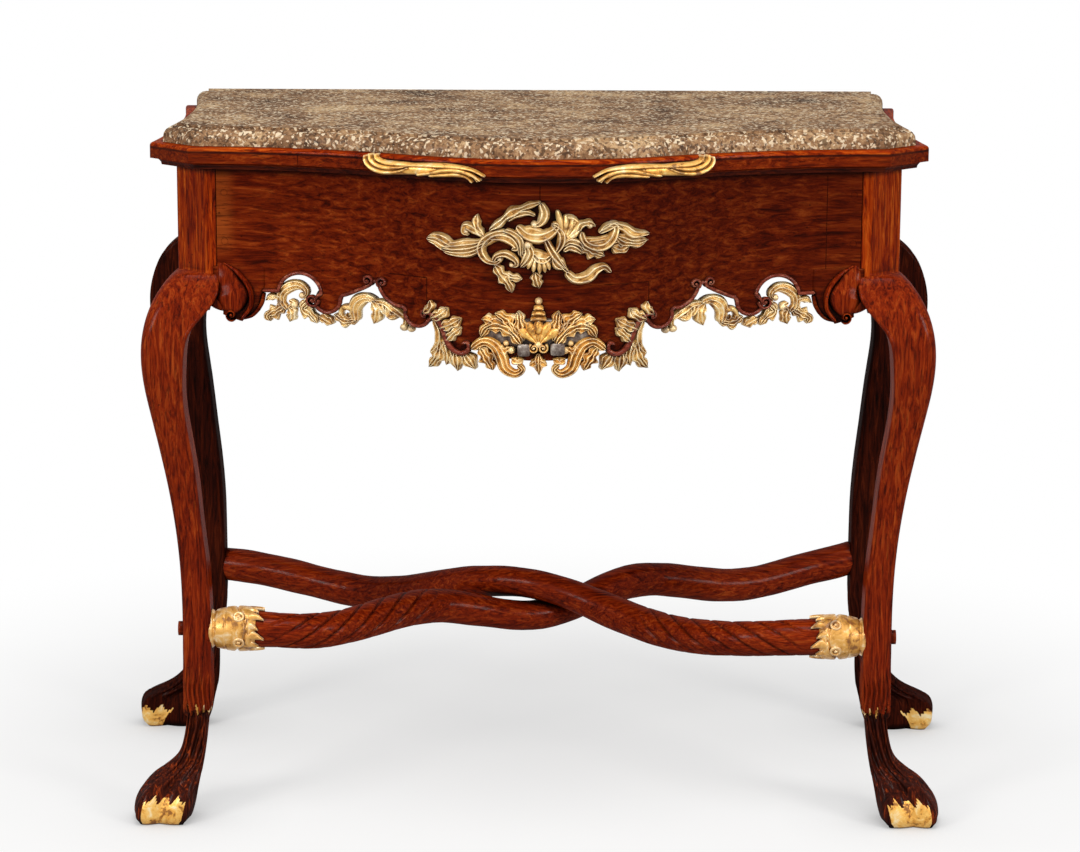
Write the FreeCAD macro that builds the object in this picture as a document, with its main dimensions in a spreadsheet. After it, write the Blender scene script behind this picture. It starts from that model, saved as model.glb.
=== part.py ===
import FreeCAD, Part
import math
import os

# A wall side table: cabriole legs and a scrolled serpentine front in figured wood, gilt carving,
# two crossing stretcher rails and a loose marble slab. Front is -Y, the flat back is +Y.

SIZES = [
    # Levels above the floor
    ("slab_top", 825), ("slab_bottom", 804), ("fascia_top", 800), ("fascia_bottom", 786),
    ("frame_bottom", 778), ("board_bottom", 664), ("knee_top", 655), ("rail_level", 217),
    # Plan of the moulded frame
    ("frame_half_width", 446), ("frame_back", 266), ("frame_front", 266), ("front_bow", 105),
    ("cant_across", 49), ("cant_along", 48), ("side_hollow", 13), ("frame_rail_width", 66),
    ("cove_depth", 12), ("fascia_step", 3), ("lip_round", 3),
    # Marble slab
    ("slab_inset", 14), ("slab_edge", 6), ("thumb_radius", 12), ("slab_step", 3),
    # Front legs
    ("front_setback", 28), ("front_post_width", 49), ("front_post_inset", 30),
    ("front_post_depth", 49), ("front_spread", 60), ("front_forward", 38), ("post_cant", 37),
    # Rear legs
    ("rear_setback", 26), ("rear_post_width", 48), ("rear_spread", 97), ("rear_thickness", 46),
    # Boards of the frieze
    ("frieze_overhang", 30), ("frieze_thickness", 28), ("side_board_setback", 10),
    ("side_board_thickness", 22), ("back_board_thickness", 22), ("side_apron_drop", 26),
    ("apron_half_span", 317), ("apron_centre_half", 125), ("apron_drop", 89),
    # Knee ears
    ("front_ear_reach", 52), ("ear_proud", 15), ("ear_thickness", 44), ("ear_drop", 64),
    ("ear_root", 20), ("side_ear_reach", 52), ("side_ear_root", 9),
    # Stretcher rails and the masks at their front ends
    ("rail_radius", 21), ("rail_waist_radius", 18.5), ("neck_radius", 11), ("tenon_proud", 6),
    ("rear_tenon_depth", 24), ("rail_wave", 20), ("rail_bury", 20), ("mask_length", 62),
    ("mask_radius", 27), ("mask_rim", 8), ("mask_seat", 3), ("shank_hollow", 15),
    ("rail_inset", 20), ("rear_shank_hollow", 32), ("fit_gap", 0.3),
    # Gilt carving
    ("carving_depth", 13), ("cartouche_left", 122), ("cartouche_right", 121),
    ("cartouche_level", 706), ("cartouche_half_height", 51), ("shell_half_width", 66),
    ("shell_top", 647), ("shell_height", 88), ("leafwork_depth", 14), ("clasp_outer", 198),
    ("clasp_inner", 52), ("clasp_depth", 4), ("clasp_height", 24),
    # Hidden woodwork and pegs
    ("block_leg", 38), ("block_height", 60), ("bearer_width", 44), ("bearer_place", 150),
    ("bearer_height", 22), ("peg_radius", 3.5), ("peg_length", 18), ("peg_inset", 9),
    ("peg_spacing", 56), ("peg_proud", 0.6), ("peg_gap", 0.1),
    # How far cutting shapes run past what they cut, and the mitres' place beside the corners
    ("overrun", 40), ("mitre_overrun", 4), ("mitre_shift", 2),
]

# Share of the front's half length that is taken by the hollow part of its curve
HOLLOW_SHARE = 0.6

# Cabriole outlines: level as a share of the knee's top, offset as a share of the leg's spread
FRONT_OUTER_SHARES = [
    (1, 0), (0.954, 0.42), (0.89, 0.64), (0.832, 0.655), (0.748, 0.5), (0.634, 0.25), (0.508, 0.06),
    (0.366, 0), (0.229, 0.02), (0.153, 0.05), (0.107, 0.2), (0.076, 0.66), (0.046, 0.93),
    (0.015, 1), (0, 0.97),
]
FRONT_INNER_SHARES = [
    (1, 0), (0.954, 0.05), (0.924, 0.33), (0.893, 0.56), (0.847, 0.65), (0.779, 0.67), (0.695, 0.56),
    (0.617, 0.45), (0.54, 0.38), (0.458, 0.29), (0.366, 0.25), (0.229, 0.26), (0.168, 0.3),
    (0.09, 0.47), (0.044, 0.56), (0, 0.7),
]
REAR_OUTER_SHARES = [
    (1, 0), (0.979, 0.35), (0.95, 0.557), (0.919, 0.66), (0.884, 0.722), (0.847, 0.735), (0.786, 0.67),
    (0.702, 0.55), (0.626, 0.42), (0.554, 0.33), (0.458, 0.27), (0.363, 0.25), (0.253, 0.25),
    (0.168, 0.3), (0.116, 0.385), (0.092, 0.52), (0.073, 0.76), (0.058, 0.95), (0.03, 1), (0, 0.94),
]
REAR_INNER_SHARES = [
    (1, 0), (0.962, 0.02), (0.916, 0.25), (0.87, 0.45), (0.823, 0.53), (0.763, 0.52), (0.702, 0.465),
    (0.626, 0.41), (0.554, 0.355), (0.458, 0.31), (0.363, 0.305), (0.253, 0.315), (0.168, 0.38),
    (0.07, 0.455), (0, 0.6),
]

# Scrolled edge of the left half of the apron: the start, then the middle and the end of each arc.
# Across is a share of the apron's half span, down is a share of its drop.
SCROLL_SHARES = [
    (0.937, 0.326), (0.871, 0.084), (0.789, 0.303), (0.811, 0.416), (0.795, 0.539), (0.757, 0.573),
    (0.708, 0.348), (0.653, 0.27), (0.599, 0.169), (0.587, 0.124), (0.574, 0.18), (0.555, 0.303),
    (0.511, 0.41), (0.495, 0.42), (0.479, 0.416), (0.435, 0.652), (0.382, 0.517), (0.338, 0.64),
    (0.319, 0.831), (0.284, 0.933), (0.24, 0.854), (0.12, 0.97), (0, 1),
]

# Outlines of the gilt carving as shares of each piece's own half width and height
CARTOUCHE_SHARES = [
    (-1, 0.16), (-0.74, 0.36), (-0.66, 0.66), (-0.5, 0.6), (-0.42, 0.4), (-0.3, 0.5), (-0.22, 0.9),
    (0, 1), (0.06, 0.66), (0.18, 0.8), (0.36, 0.74), (0.44, 0.5), (0.64, 0.52), (1, 0.16),
    (0.7, 0), (0.56, -0.3), (0.5, -0.56), (0.28, -0.6), (0.06, -0.72), (-0.1, -0.7), (-0.26, -1),
    (-0.44, -0.72), (-0.4, -0.3), (-0.7, -0.06),
]
SHELL_SHARES = [
    (-1, 0.36), (-0.66, 0.3), (-0.34, 0.22), (0, 0), (0.34, 0.22), (0.66, 0.3), (1, 0.36),
    (0.86, 0.62), (0.62, 0.78), (0.44, 0.99), (0.2, 0.86), (0, 1), (-0.2, 0.86), (-0.44, 0.99),
    (-0.62, 0.78), (-0.86, 0.62),
]
# Leaves under the scrolled edge: across as a share of the apron's half span, down of its drop
OUTER_LEAF_SHARES = [
    (0.985, 0.42), (0.93, 0.2), (0.87, 0.1), (0.79, 0.3), (0.8, 0.5), (0.74, 0.6), (0.72, 0.72),
    (0.79, 0.66), (0.85, 0.58), (0.92, 0.56),
]
INNER_LEAF_SHARES = [
    (0.71, 0.38), (0.62, 0.2), (0.58, 0.26), (0.55, 0.32), (0.48, 0.42), (0.44, 0.66), (0.5, 0.7),
    (0.56, 0.6), (0.62, 0.52), (0.67, 0.5),
]
DROP_LEAF_SHARES = [
    (0.4, 0.56), (0.36, 0.6), (0.335, 0.66), (0.31, 0.84), (0.25, 0.94), (0.235, 1.08), (0.3, 1.1),
    (0.38, 1.0), (0.42, 0.9), (0.4, 0.76),
]
CLASP_SHARES = [
    (1, 1), (0.93, 0.72), (0.6, 0.62), (0.2, 0.5), (0, 0.3), (0, 0), (0.12, 0.06), (0.5, 0.2),
    (0.86, 0.42), (0.98, 0.66),
]
# Side view of the knee ears: across from the leg, and down, each from 0 at the leg's top corner to 1
EAR_SHARES = [(1, 0), (1, 0.45), (0.72, 0.94), (0.48, 1), (0.16, 0.94), (0, 0.8)]

# Axes of the two stretcher rails from front to rear: across as a share of the rear end's distance,
# towards the rail's own front leg, back as a share of the way to the rear legs, rise of the wave
UNDER_RAIL_SHARES = [
    (0.8, 0, 0.5), (0.614, 0.054, 0.15), (0.284, 0.4, 0.05), (0, 0.483, -1), (-0.3, 0.71, 0.25),
    (-0.62, 0.85, -0.75), (-0.82, 0.94, -0.25), (-1, 1, 0.5),
]
OVER_RAIL_SHARES = [
    (0.8, 0, 0.15), (0.572, 0.06, -0.3), (0.373, 0.243, -0.7), (0.15, 0.427, 0.25), (0, 0.483, 1),
    (-0.23, 0.6, 0.5), (-0.535, 0.836, -1.25), (-0.77, 0.935, -0.65), (-1, 1, -0.15),
]
RAIL_SECTIONS = 16
# Share of the rail's reach, to each side of the crossing, where it is thinner
WAIST_SHARE = 0.16
# Barrel of the mask: along its length, and radius
MASK_SHARES = [(0.15, 0.9), (0.42, 1), (0.72, 0.95), (1, 0.8)]
# Sections of the cove and of the thumb moulding, as shares of a quarter turn
TURN_SHARES = [0, 0.25, 0.5, 0.75, 1]

doc = FreeCAD.newDocument("side_table")
sheet = doc.addObject("Spreadsheet::Sheet", "dims")
for row, (alias, value) in enumerate(SIZES, start=1):
    sheet.set(f"A{row}", alias)
    sheet.set(f"B{row}", str(value))
    sheet.setAlias(f"B{row}", alias)
doc.recompute()

PARTS = []


def size(alias):
    return float(sheet.get(alias))


def vec(x, y, z=0):
    return FreeCAD.Vector(x, y, z)


def keep(piece, label):
    """Marks an object as one of the table's pieces, under the piece's own name."""
    piece.Label = label
    PARTS.append(piece)
    return piece


def line(start, end):
    return Part.LineSegment(start, end)


def polygon(points):
    return [line(a, b) for a, b in zip(points, points[1:] + points[:1])]


def spline(points, closed=False):
    curve = Part.BSplineCurve()
    curve.interpolate(points, PeriodicFlag=closed)
    return curve


def attach(body, role, offset):
    """A sketch on one of the body's own planes; offset gives the expression of its height."""
    plane = next(p for p in body.Origin.OriginFeatures if p.Role == role)
    sketch = body.newObject("Sketcher::SketchObject", body.Name + "_sketch")
    sketch.AttachmentSupport = [(plane, "")]
    sketch.MapMode = "FlatFace"
    sketch.setExpression(".AttachmentOffset.Base.z", offset)
    return sketch


def padded(name, role, curves, offset, length, backwards=False):
    """A body made by padding one closed outline from a plane."""
    body = doc.addObject("PartDesign::Body", name)
    sketch = attach(body, role, offset)
    sketch.addGeometry(curves, False)
    pad = body.newObject("PartDesign::Pad", name + "_pad")
    pad.Profile = sketch
    pad.setExpression("Length", length)
    pad.Reversed = backwards
    body.Tip = pad
    return body


def upright(name, curves, bottom, height):
    """Plan outline padded upwards from a level."""
    return padded(name, "XY_Plane", curves, bottom, height)


def facing(name, curves, front, depth):
    """Front view outline padded backwards; front is the distance of its face before the origin."""
    return padded(name, "XZ_Plane", curves, front, depth, backwards=True)


def sideways(name, curves, start, width):
    """Side view outline padded towards +X."""
    return padded(name, "YZ_Plane", curves, start, width)


def boolean(kind, name, base, tool):
    result = doc.addObject("Part::" + kind, name)
    result.Base = base
    result.Tool = tool
    return result


def fused(name, shapes):
    result = doc.addObject("Part::MultiFuse", name)
    result.Shapes = shapes
    return result


def mirrored(source, label):
    """The piece's twin on the right-hand side."""
    twin = doc.addObject("Part::Mirroring", label + "_twin")
    twin.Source = source
    twin.Normal = vec(1, 0, 0)
    return keep(twin, label)


def feature(name, shape):
    piece = doc.addObject("Part::Feature", name)
    piece.Shape = shape
    return piece


def flipped(points):
    """The same points on the other side, in reverse order."""
    return [vec(-p.x, p.y) for p in reversed(points)]


def crossing(centre, radius, start, along, near):
    """Where a straight line meets a circle, at the crossing that lies nearer to a given point."""
    foot = start + along * along.dot(centre - start)
    half = math.sqrt(radius**2 - foot.distanceToPoint(centre) ** 2)
    return min((foot - along * half, foot + along * half), key=near.distanceToPoint)


def front_hollow():
    """Hollow arc of the serpentine front beside its left corner: the corner, its radius and its turn."""
    corner = vec(size("cant_across") - size("frame_half_width"), size("front_bow") - size("frame_front"))
    turn = 2 * math.atan2(size("front_bow"), -corner.x)
    return corner, -corner.x / math.sin(turn) * HOLLOW_SHARE, turn


def front_face(across, inset):
    """Place on the hollow part of the left front, drawn in by an inset."""
    corner, hollow, turn = front_hollow()
    aside = across - corner.x
    return vec(across, corner.y - hollow + math.sqrt((hollow + inset) ** 2 - aside**2))


def plan_half(inset, flush):
    """Left corners of the plan outline, drawn in by an inset, and the points that its arcs pass."""
    front_corner, hollow, turn = front_hollow()
    side_corner = front_corner + vec(-size("cant_across"), size("cant_along"))
    back_corner = vec(-size("frame_half_width"), size("frame_back"))
    waist = (side_corner + back_corner) / 2 + vec(size("side_hollow"), 0)
    side = Part.Circle(side_corner, waist, back_corner)
    side_reach = side.Radius + inset
    centre = front_corner - vec(0, hollow)
    cant = (front_corner - side_corner).normalize()
    cant_start = side_corner + vec(-cant.y, cant.x) * inset
    back_start = back_corner - vec(0, 0 if flush else inset)
    corners = [
        crossing(centre, hollow + inset, cant_start, cant, front_corner),
        crossing(side.Center, side_reach, cant_start, cant, side_corner),
        crossing(side.Center, side_reach, back_start, vec(1, 0), back_corner),
    ]
    swings = [vec(math.sin(angle), math.cos(angle)) for angle in (turn / 2, turn)]
    return corners, [side.Center + vec(side_reach, 0), *(centre + s * (hollow + inset) for s in swings)]


def plan_curves(inset, flush=False):
    """Closed plan outline of the moulded frame, drawn in by an inset; a flush back edge stays in place."""
    (front, side, rear), (waist, swing, join) = plan_half(inset, flush)
    crown = vec(0, inset - size("frame_front"))
    return [
        line(vec(-rear.x, rear.y), rear),
        Part.Arc(rear, waist, side),
        line(side, front),
        Part.Arc(front, swing, join),
        Part.Arc(join, crown, vec(-join.x, join.y)),
        Part.Arc(*flipped([front, swing, join])),
        line(*flipped([side, front])),
        Part.Arc(*flipped([rear, waist, side])),
    ]


def band(sections):
    """Solid through plan outlines with flush backs, given as pairs of level and inset."""
    wires = []
    for level, inset in sections:
        wire = Part.Wire([curve.toShape() for curve in plan_curves(inset, flush=True)])
        wire.translate(vec(0, 0, level))
        wires.append(wire)
    return Part.makeLoft(wires, True, True)


def quarter(turn_share):
    """Sine and cosine of a share of a quarter turn."""
    angle = turn_share * math.pi / 2
    return math.sin(angle), math.cos(angle)


# Moulded frame: cove, fascia and rounded lip, open in the middle, mitred at the canted corners
cove = [
    (
        size("frame_bottom") + quarter(share)[0] * (size("fascia_bottom") - size("frame_bottom")),
        size("fascia_step") + quarter(share)[1] * (size("cove_depth") - size("fascia_step")),
    )
    for share in TURN_SHARES
]
lip = [
    (
        size("fascia_top") + quarter(share)[0] * (size("slab_bottom") - size("fascia_top")),
        size("lip_round") * (1 - quarter(share)[1]),
    )
    for share in TURN_SHARES
]
fascia = upright(
    "frame_fascia", plan_curves(0), "dims.fascia_bottom", "dims.fascia_top - dims.fascia_bottom"
)
layers = [feature("frame_cove", band(cove)), fascia, feature("frame_lip", band(lip))]
frame_blank = fused("frame_blank", layers)
opening = upright(
    "frame_opening",
    plan_curves(size("frame_rail_width")),
    "dims.frame_bottom",
    "dims.slab_bottom - dims.frame_bottom",
)
frame_ring = boolean("Cut", "frame_ring", frame_blank, opening)


def mitre_points():
    """Ends of the left half's mitre lines, a little past the frame, from the front to the back."""
    outer, inner = (plan_half(inset, False)[0] for inset in (0, size("frame_rail_width")))
    run = [(o - i).normalize() for o, i in zip(outer, inner)]
    aside = [vec(size("mitre_shift"), 0), vec(0, size("mitre_shift")), vec(0, 0)]
    outer = [o + a + r * size("overrun") for o, a, r in zip(outer, aside, run)]
    inner = [i + a - r * size("mitre_overrun") for i, a, r in zip(inner, aside, run)]
    return outer, inner


def frame_piece(label, points):
    """One length of the frame between its mitres."""
    height = "dims.slab_bottom - dims.frame_bottom"
    region = upright(label + "_region", polygon(points), "dims.frame_bottom", height)
    return keep(boolean("Common", label + "_cut", frame_ring, region), label)


outer, inner = mitre_points()
before = vec(outer[0].x, -size("frame_front") - size("overrun"))
right = [[vec(-p.x, p.y) for p in side] for side in (outer, inner)]
frame_piece(
    "frame_front_rail",
    [before, outer[0], inner[0], right[1][0], right[0][0], vec(-before.x, before.y)],
)
frame_piece("frame_back_rail", [outer[2], inner[2], right[1][2], right[0][2]])
corner_piece = frame_piece("frame_left_corner", [outer[0], outer[1], inner[1], inner[0]])
side_piece = frame_piece("frame_left_rail", [outer[1], outer[2], inner[2], inner[1]])
mirrored(corner_piece, "frame_right_corner")
mirrored(side_piece, "frame_right_rail")

# Marble slab: upright edge, quarter-round thumb moulding, small step and the flat top
edge_top = size("slab_bottom") + size("slab_edge")
step_bottom = size("slab_top") - size("slab_step")
thumb = [
    (
        edge_top + quarter(share)[0] * (step_bottom - edge_top),
        size("slab_inset") + size("thumb_radius") * (1 - quarter(share)[1]),
    )
    for share in TURN_SHARES
]
flat_inset = size("slab_inset") + size("thumb_radius") + size("slab_step")
edge_curves = plan_curves(size("slab_inset"), flush=True)
flat_curves = plan_curves(flat_inset, flush=True)
slab_base = upright("slab_base", edge_curves, "dims.slab_bottom", "dims.slab_edge")
slab_flat = upright("slab_flat", flat_curves, "dims.slab_top - dims.slab_step", "dims.slab_step")
keep(fused("slab", [slab_base, feature("slab_thumb", band(thumb)), slab_flat]), "marble_slab")


def leg_outline(outer_shares, inner_shares, outer_face, inner_face, spread):
    """Closed side of a leg: post above, cabriole curves and foot below; faces lie at minus values."""
    knee = size("knee_top")
    top = size("frame_bottom")
    outside = [vec(-outer_face - share * spread, level * knee) for level, share in outer_shares]
    inside = [vec(-inner_face - share * spread, level * knee) for level, share in inner_shares]
    return [
        spline(outside),
        line(outside[-1], inside[-1]),
        spline(inside),
        line(inside[0], vec(-inner_face, top)),
        line(vec(-inner_face, top), vec(-outer_face, top)),
        line(vec(-outer_face, top), outside[0]),
    ]


def rod(name, radius, length, place, axis):
    """Round bar from a place along an axis; radius and length are expressions."""
    bar = doc.addObject("Part::Cylinder", name)
    bar.setExpression("Radius", radius)
    bar.setExpression("Height", length)
    bar.Placement = FreeCAD.Placement(place, FreeCAD.Rotation(vec(0, 0, 1), axis))
    return bar


def block(name, corner, lengths):
    """Box from its lowest corner; lengths are expressions along X, Y and Z."""
    box = doc.addObject("Part::Box", name)
    for side, length in zip(("Length", "Width", "Height"), lengths):
        box.setExpression(side, length)
    box.Placement = FreeCAD.Placement(corner, FreeCAD.Rotation())
    return box


# Places of the posts, worked out from the frame's edges
post_outer = size("frame_half_width") - size("front_setback")
post_inner = post_outer - size("front_post_width")
post_face = size("frame_front") - size("front_bow") - size("front_post_inset")
post_rear = post_face - size("front_post_depth")
rear_outer = size("frame_half_width") - size("rear_setback")
rear_inner = rear_outer - size("rear_post_width")

# Front legs: the same cabriole curve sawn on two faces of a square blank, with a canted post
front_view = leg_outline(
    FRONT_OUTER_SHARES,
    FRONT_INNER_SHARES,
    post_outer,
    post_inner,
    size("front_spread"),
)
side_view = leg_outline(
    FRONT_OUTER_SHARES,
    FRONT_INNER_SHARES,
    post_face,
    post_rear,
    size("front_forward"),
)
leg_depth = "dims.frame_front + dims.front_forward"
leg_width = "dims.frame_half_width + dims.front_spread"
leg_sides = boolean(
    "Common",
    "front_leg_sides",
    facing("front_leg_front_view", front_view, leg_depth, leg_depth),
    sideways("front_leg_side_view", side_view, "-(" + leg_width + ")", leg_width),
)
cant_run = size("post_cant") + size("overrun")
cant_corner = vec(-post_outer - size("overrun"), -post_face - size("overrun"))
post_cant = upright(
    "post_cant_wedge",
    polygon(
        [
            cant_corner,
            cant_corner + vec(cant_run + size("overrun"), 0),
            cant_corner + vec(0, cant_run + size("overrun")),
        ]
    ),
    "dims.knee_top",
    "dims.frame_bottom - dims.knee_top + dims.overrun",
)
front_blank = boolean("Cut", "front_leg_blank", leg_sides, post_cant)
front_twin = doc.addObject("Part::Mirroring", "front_leg_twin")
front_twin.Source = front_blank
front_twin.Normal = vec(1, 0, 0)

# Rear legs: the curve is sawn sideways only, and the back stays flat
rear_view = leg_outline(
    REAR_OUTER_SHARES,
    REAR_INNER_SHARES,
    rear_outer,
    rear_inner,
    size("rear_spread"),
)
rear_front = "dims.rear_thickness - dims.frame_back"
rear_blank = facing("rear_leg_blank", rear_view, rear_front, "dims.rear_thickness")
rear_twin = doc.addObject("Part::Mirroring", "rear_leg_twin")
rear_twin.Source = rear_blank
rear_twin.Normal = vec(1, 0, 0)

# Stretcher rails: each starts in a front leg, winds past the other and ends in the far rear leg
rail_front_end = post_inner + size("shank_hollow")
rail_rear_end = rear_inner + size("rear_shank_hollow")
rail_front_y = -post_face + size("rail_inset")
rail_rear_y = size("frame_back") - size("rear_thickness") / 2


def rail_path(shares, side):
    """Points of a rail's axis from its front leg to the rear leg on the other side."""
    points = []
    for across, back, rise in shares:
        x = -side * across * rail_rear_end
        y = rail_front_y + back * (rail_rear_y - rail_front_y)
        points.append(vec(x, y, size("rail_level") + rise * size("rail_wave")))
    start = rail_front_end - size("mask_length")
    points[0].x = -side * start
    return points


def rail_body(name, points, side):
    """Smooth round rail through circles set square to its axis, thinner where the rails cross."""
    axis = spline(points)
    first, last = axis.FirstParameter, axis.LastParameter
    circles = []
    for place in range(RAIL_SECTIONS + 1):
        at = first + (last - first) * place / RAIL_SECTIONS
        circle = doc.addObject("Part::Circle", f"{name}_circle_{place}")
        centre = axis.value(at)
        waist = abs(centre.x) < WAIST_SHARE * rail_rear_end
        circle.setExpression("Radius", "dims.rail_waist_radius" if waist else "dims.rail_radius")
        inside = 0 < place < RAIL_SECTIONS
        ahead = axis.tangent(at)[0] if inside else vec(side, 0, 0)
        turn = FreeCAD.Rotation(vec(0, 0, 0), vec(0, 0, 1), ahead, "ZYX")
        circle.Placement = FreeCAD.Placement(centre, turn)
        circles.append(circle)
    loft = doc.addObject("Part::Loft", name + "_loft")
    loft.Sections = circles
    loft.Solid = True
    return loft


def stretcher(label, shares, side):
    """A rail with its long front tenon, which goes through mask and leg, and its short rear tenon."""
    points = rail_path(shares, side)
    front, rear = points[0], points[-1]
    bury = vec(side * size("rail_bury"), 0, 0)
    through = "dims.mask_length + dims.rail_bury + dims.tenon_proud"
    through += " + dims.front_post_width - dims.shank_hollow"
    ends = [
        rod(label + "_front_tenon", "dims.neck_radius", through, front + bury, vec(-side, 0, 0)),
        rod(
            label + "_rear_tenon",
            "dims.neck_radius",
            "dims.rail_bury + dims.rear_tenon_depth",
            rear - bury,
            vec(side, 0, 0),
        ),
    ]
    return fused(label + "_whole", [rail_body(label, points, side), *ends]), front, rear


def mortise(name, place, axis, depth):
    return rod(name, "dims.neck_radius + dims.fit_gap", depth, place, axis)


def mask(label, end, side, leg):
    """Barrel-shaped mask around the rail's neck, bored through and fitted to the leg."""
    body = doc.addObject("PartDesign::Body", label + "_body")
    rail_front = "dims.frame_front - dims.front_bow - dims.front_post_inset - dims.rail_inset"
    sketch = attach(body, "XZ_Plane", rail_front)
    sketch.AttachmentOffset = FreeCAD.Placement(vec(0, end.z, -end.y), FreeCAD.Rotation())
    face = -side * rail_front_end
    long = size("mask_length")
    bore = size("neck_radius") + size("fit_gap")
    rim = [(face - side * size("mask_seat"), bore), (face - side * size("mask_seat"), size("mask_radius"))]
    rim.append((face + side * size("mask_rim"), size("mask_radius")))
    hollow = [(face + side * along * long, share * size("mask_radius")) for along, share in MASK_SHARES]
    barrel = [vec(x, r) for x, r in hollow]
    corner = [vec(x, r) for x, r in rim]
    tip = vec(barrel[-1].x, bore)
    outline = [line(a, b) for a, b in zip(corner, corner[1:])]
    outline += [line(corner[-1], barrel[0]), spline(barrel), line(barrel[-1], tip), line(tip, corner[0])]
    sketch.addGeometry(outline, False)
    turned = body.newObject("PartDesign::Revolution", label + "_turned")
    turned.Profile = sketch
    turned.ReferenceAxis = (sketch, ["H_Axis"])
    turned.Angle = 360
    body.Tip = turned
    keep(boolean("Cut", label + "_fitted", body, leg), label)


def leg_pair(side, word, far_word, shares, front_leg_blank, rear_leg_blank):
    """One rail with the front leg it starts in, the mask at that end and the rear leg it ends in."""
    rail, front, rear = stretcher(word + "_stretcher", shares, side)
    outside = vec(-side * (post_outer + size("overrun")), front.y, front.z)
    right_through = "2 * dims.overrun + dims.front_post_width"
    front_hole = mortise(word + "_mortise", outside, vec(side, 0, 0), right_through)
    front_leg = boolean("Cut", word + "_front_cut", front_leg_blank, front_hole)
    keep(front_leg, f"front_{word}_leg")
    start = vec(side * (rail_rear_end - size("overrun")), rear.y, rear.z)
    depth = "dims.overrun + dims.rear_tenon_depth + dims.fit_gap"
    rear_hole = mortise(far_word + "_rear_mortise", start, vec(side, 0, 0), depth)
    rear_leg = boolean("Cut", far_word + "_rear_cut", rear_leg_blank, rear_hole)
    keep(rear_leg, f"rear_{far_word}_leg")
    keep(boolean("Cut", word + "_rail_fitted", rail, rear_leg), word + "_stretcher")
    mask(word + "_mask", front, side, front_leg)


leg_pair(1, "left", "right", UNDER_RAIL_SHARES, front_blank, rear_twin)
leg_pair(-1, "right", "left", OVER_RAIL_SHARES, front_twin, rear_blank)


def skin(name, outer_inset, inner_inset, bottom, height):
    """Upright band that follows the plan outline between two insets."""
    outside = upright(name + "_outside", plan_curves(outer_inset), bottom, height)
    inside = upright(name + "_inside", plan_curves(inner_inset), bottom, height)
    return boolean("Cut", name, outside, inside)


def front_cut(name, curves, band_piece):
    """Part of a band in the front half of the table, inside a front view outline."""
    reach = "dims.frame_front + dims.overrun"
    return boolean("Common", name, band_piece, facing(name + "_view", curves, reach, reach))


# Serpentine front board, with the apron pieces glued under it
face_inset = size("frieze_overhang")
apron_low = size("board_bottom") - size("apron_drop")
apron_height = "dims.frame_bottom - dims.board_bottom + 2 * dims.apron_drop"
board_band = skin(
    "board_band",
    face_inset,
    face_inset + size("frieze_thickness"),
    "dims.board_bottom - 2 * dims.apron_drop",
    apron_height,
)
board_corners = [
    vec(-post_inner, size("board_bottom")),
    vec(post_inner, size("board_bottom")),
    vec(post_inner, size("frame_bottom")),
    vec(-post_inner, size("frame_bottom")),
]
board = front_cut("front_board", polygon(board_corners), board_band)

# Pegs in the ends of the front board, in blind holes
pegs = []
holes = []
peg_middle = (size("frame_bottom") + size("board_bottom")) / 2
for side in (-1, 1):
    for step in (-1, 1):
        number = len(pegs) + 1
        face = front_face(size("peg_inset") - post_inner, face_inset)
        place = vec(-side * face.x, face.y - size("peg_proud"), peg_middle + step * size("peg_spacing") / 2)
        pegs.append(rod(f"peg_{number}", "dims.peg_radius", "dims.peg_length", place, vec(0, 1, 0)))
        before = place - vec(0, size("overrun"), 0)
        deep = "dims.peg_length + dims.overrun"
        holes.append(rod(f"peg_hole_{number}", "dims.peg_radius + dims.peg_gap", deep, before, vec(0, 1, 0)))
keep(boolean("Cut", "pegged_board", board, fused("peg_holes", holes)), "front_frieze")
group = doc.addObject("Part::Compound", "pegs")
group.Links = pegs
keep(group, "frieze_pegs")


def apron_points(shares):
    """Points of the apron in the front view, from shares of its half span and of its drop."""
    span = size("apron_half_span")
    return [vec(-across * span, size("board_bottom") - down * size("apron_drop")) for across, down in shares]


def apron_curves():
    """Closed front view of the whole apron, with its scrolled lower edge."""
    left = apron_points(SCROLL_SHARES)
    step = vec(-size("apron_half_span"), left[0].y)
    edge = left + flipped(left)[1:]
    arcs = [Part.Arc(*edge[at : at + 3]) for at in range(0, len(edge) - 2, 2)]
    top = size("board_bottom")
    far_step = vec(-step.x, step.y)
    tops = [vec(step.x, top), vec(-step.x, top)]
    return [
        line(tops[1], tops[0]),
        line(tops[0], step),
        line(step, left[0]),
        *arcs,
        line(edge[-1], far_step),
        line(far_step, tops[1]),
    ]


def between(name, start, length):
    """Space under the front board from a place across; the length is an expression."""
    corner = vec(start, -size("frame_front") - size("overrun"), apron_low - size("overrun"))
    return block(name, corner, (length, "dims.frame_front + dims.overrun", "dims.apron_drop + dims.overrun"))


ears_apart = "dims.frame_half_width - dims.front_setback - dims.front_post_width - dims.front_ear_reach"
ear_end = post_inner - size("front_ear_reach")
ear_space = between("ear_space", -ear_end, f"2 * ({ears_apart})")
apron = front_cut("apron", apron_curves(), boolean("Common", "apron_band", board_band, ear_space))
side_box = between("apron_side_box", -ear_end, ears_apart + " - dims.apron_centre_half")
centre_box = between("apron_centre_box", -size("apron_centre_half"), "2 * dims.apron_centre_half")
apron_left = keep(boolean("Common", "apron_side", apron, side_box), "apron_left")
mirrored(apron_left, "apron_right")
keep(boolean("Common", "apron_middle", apron, centre_box), "apron_centre")

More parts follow.
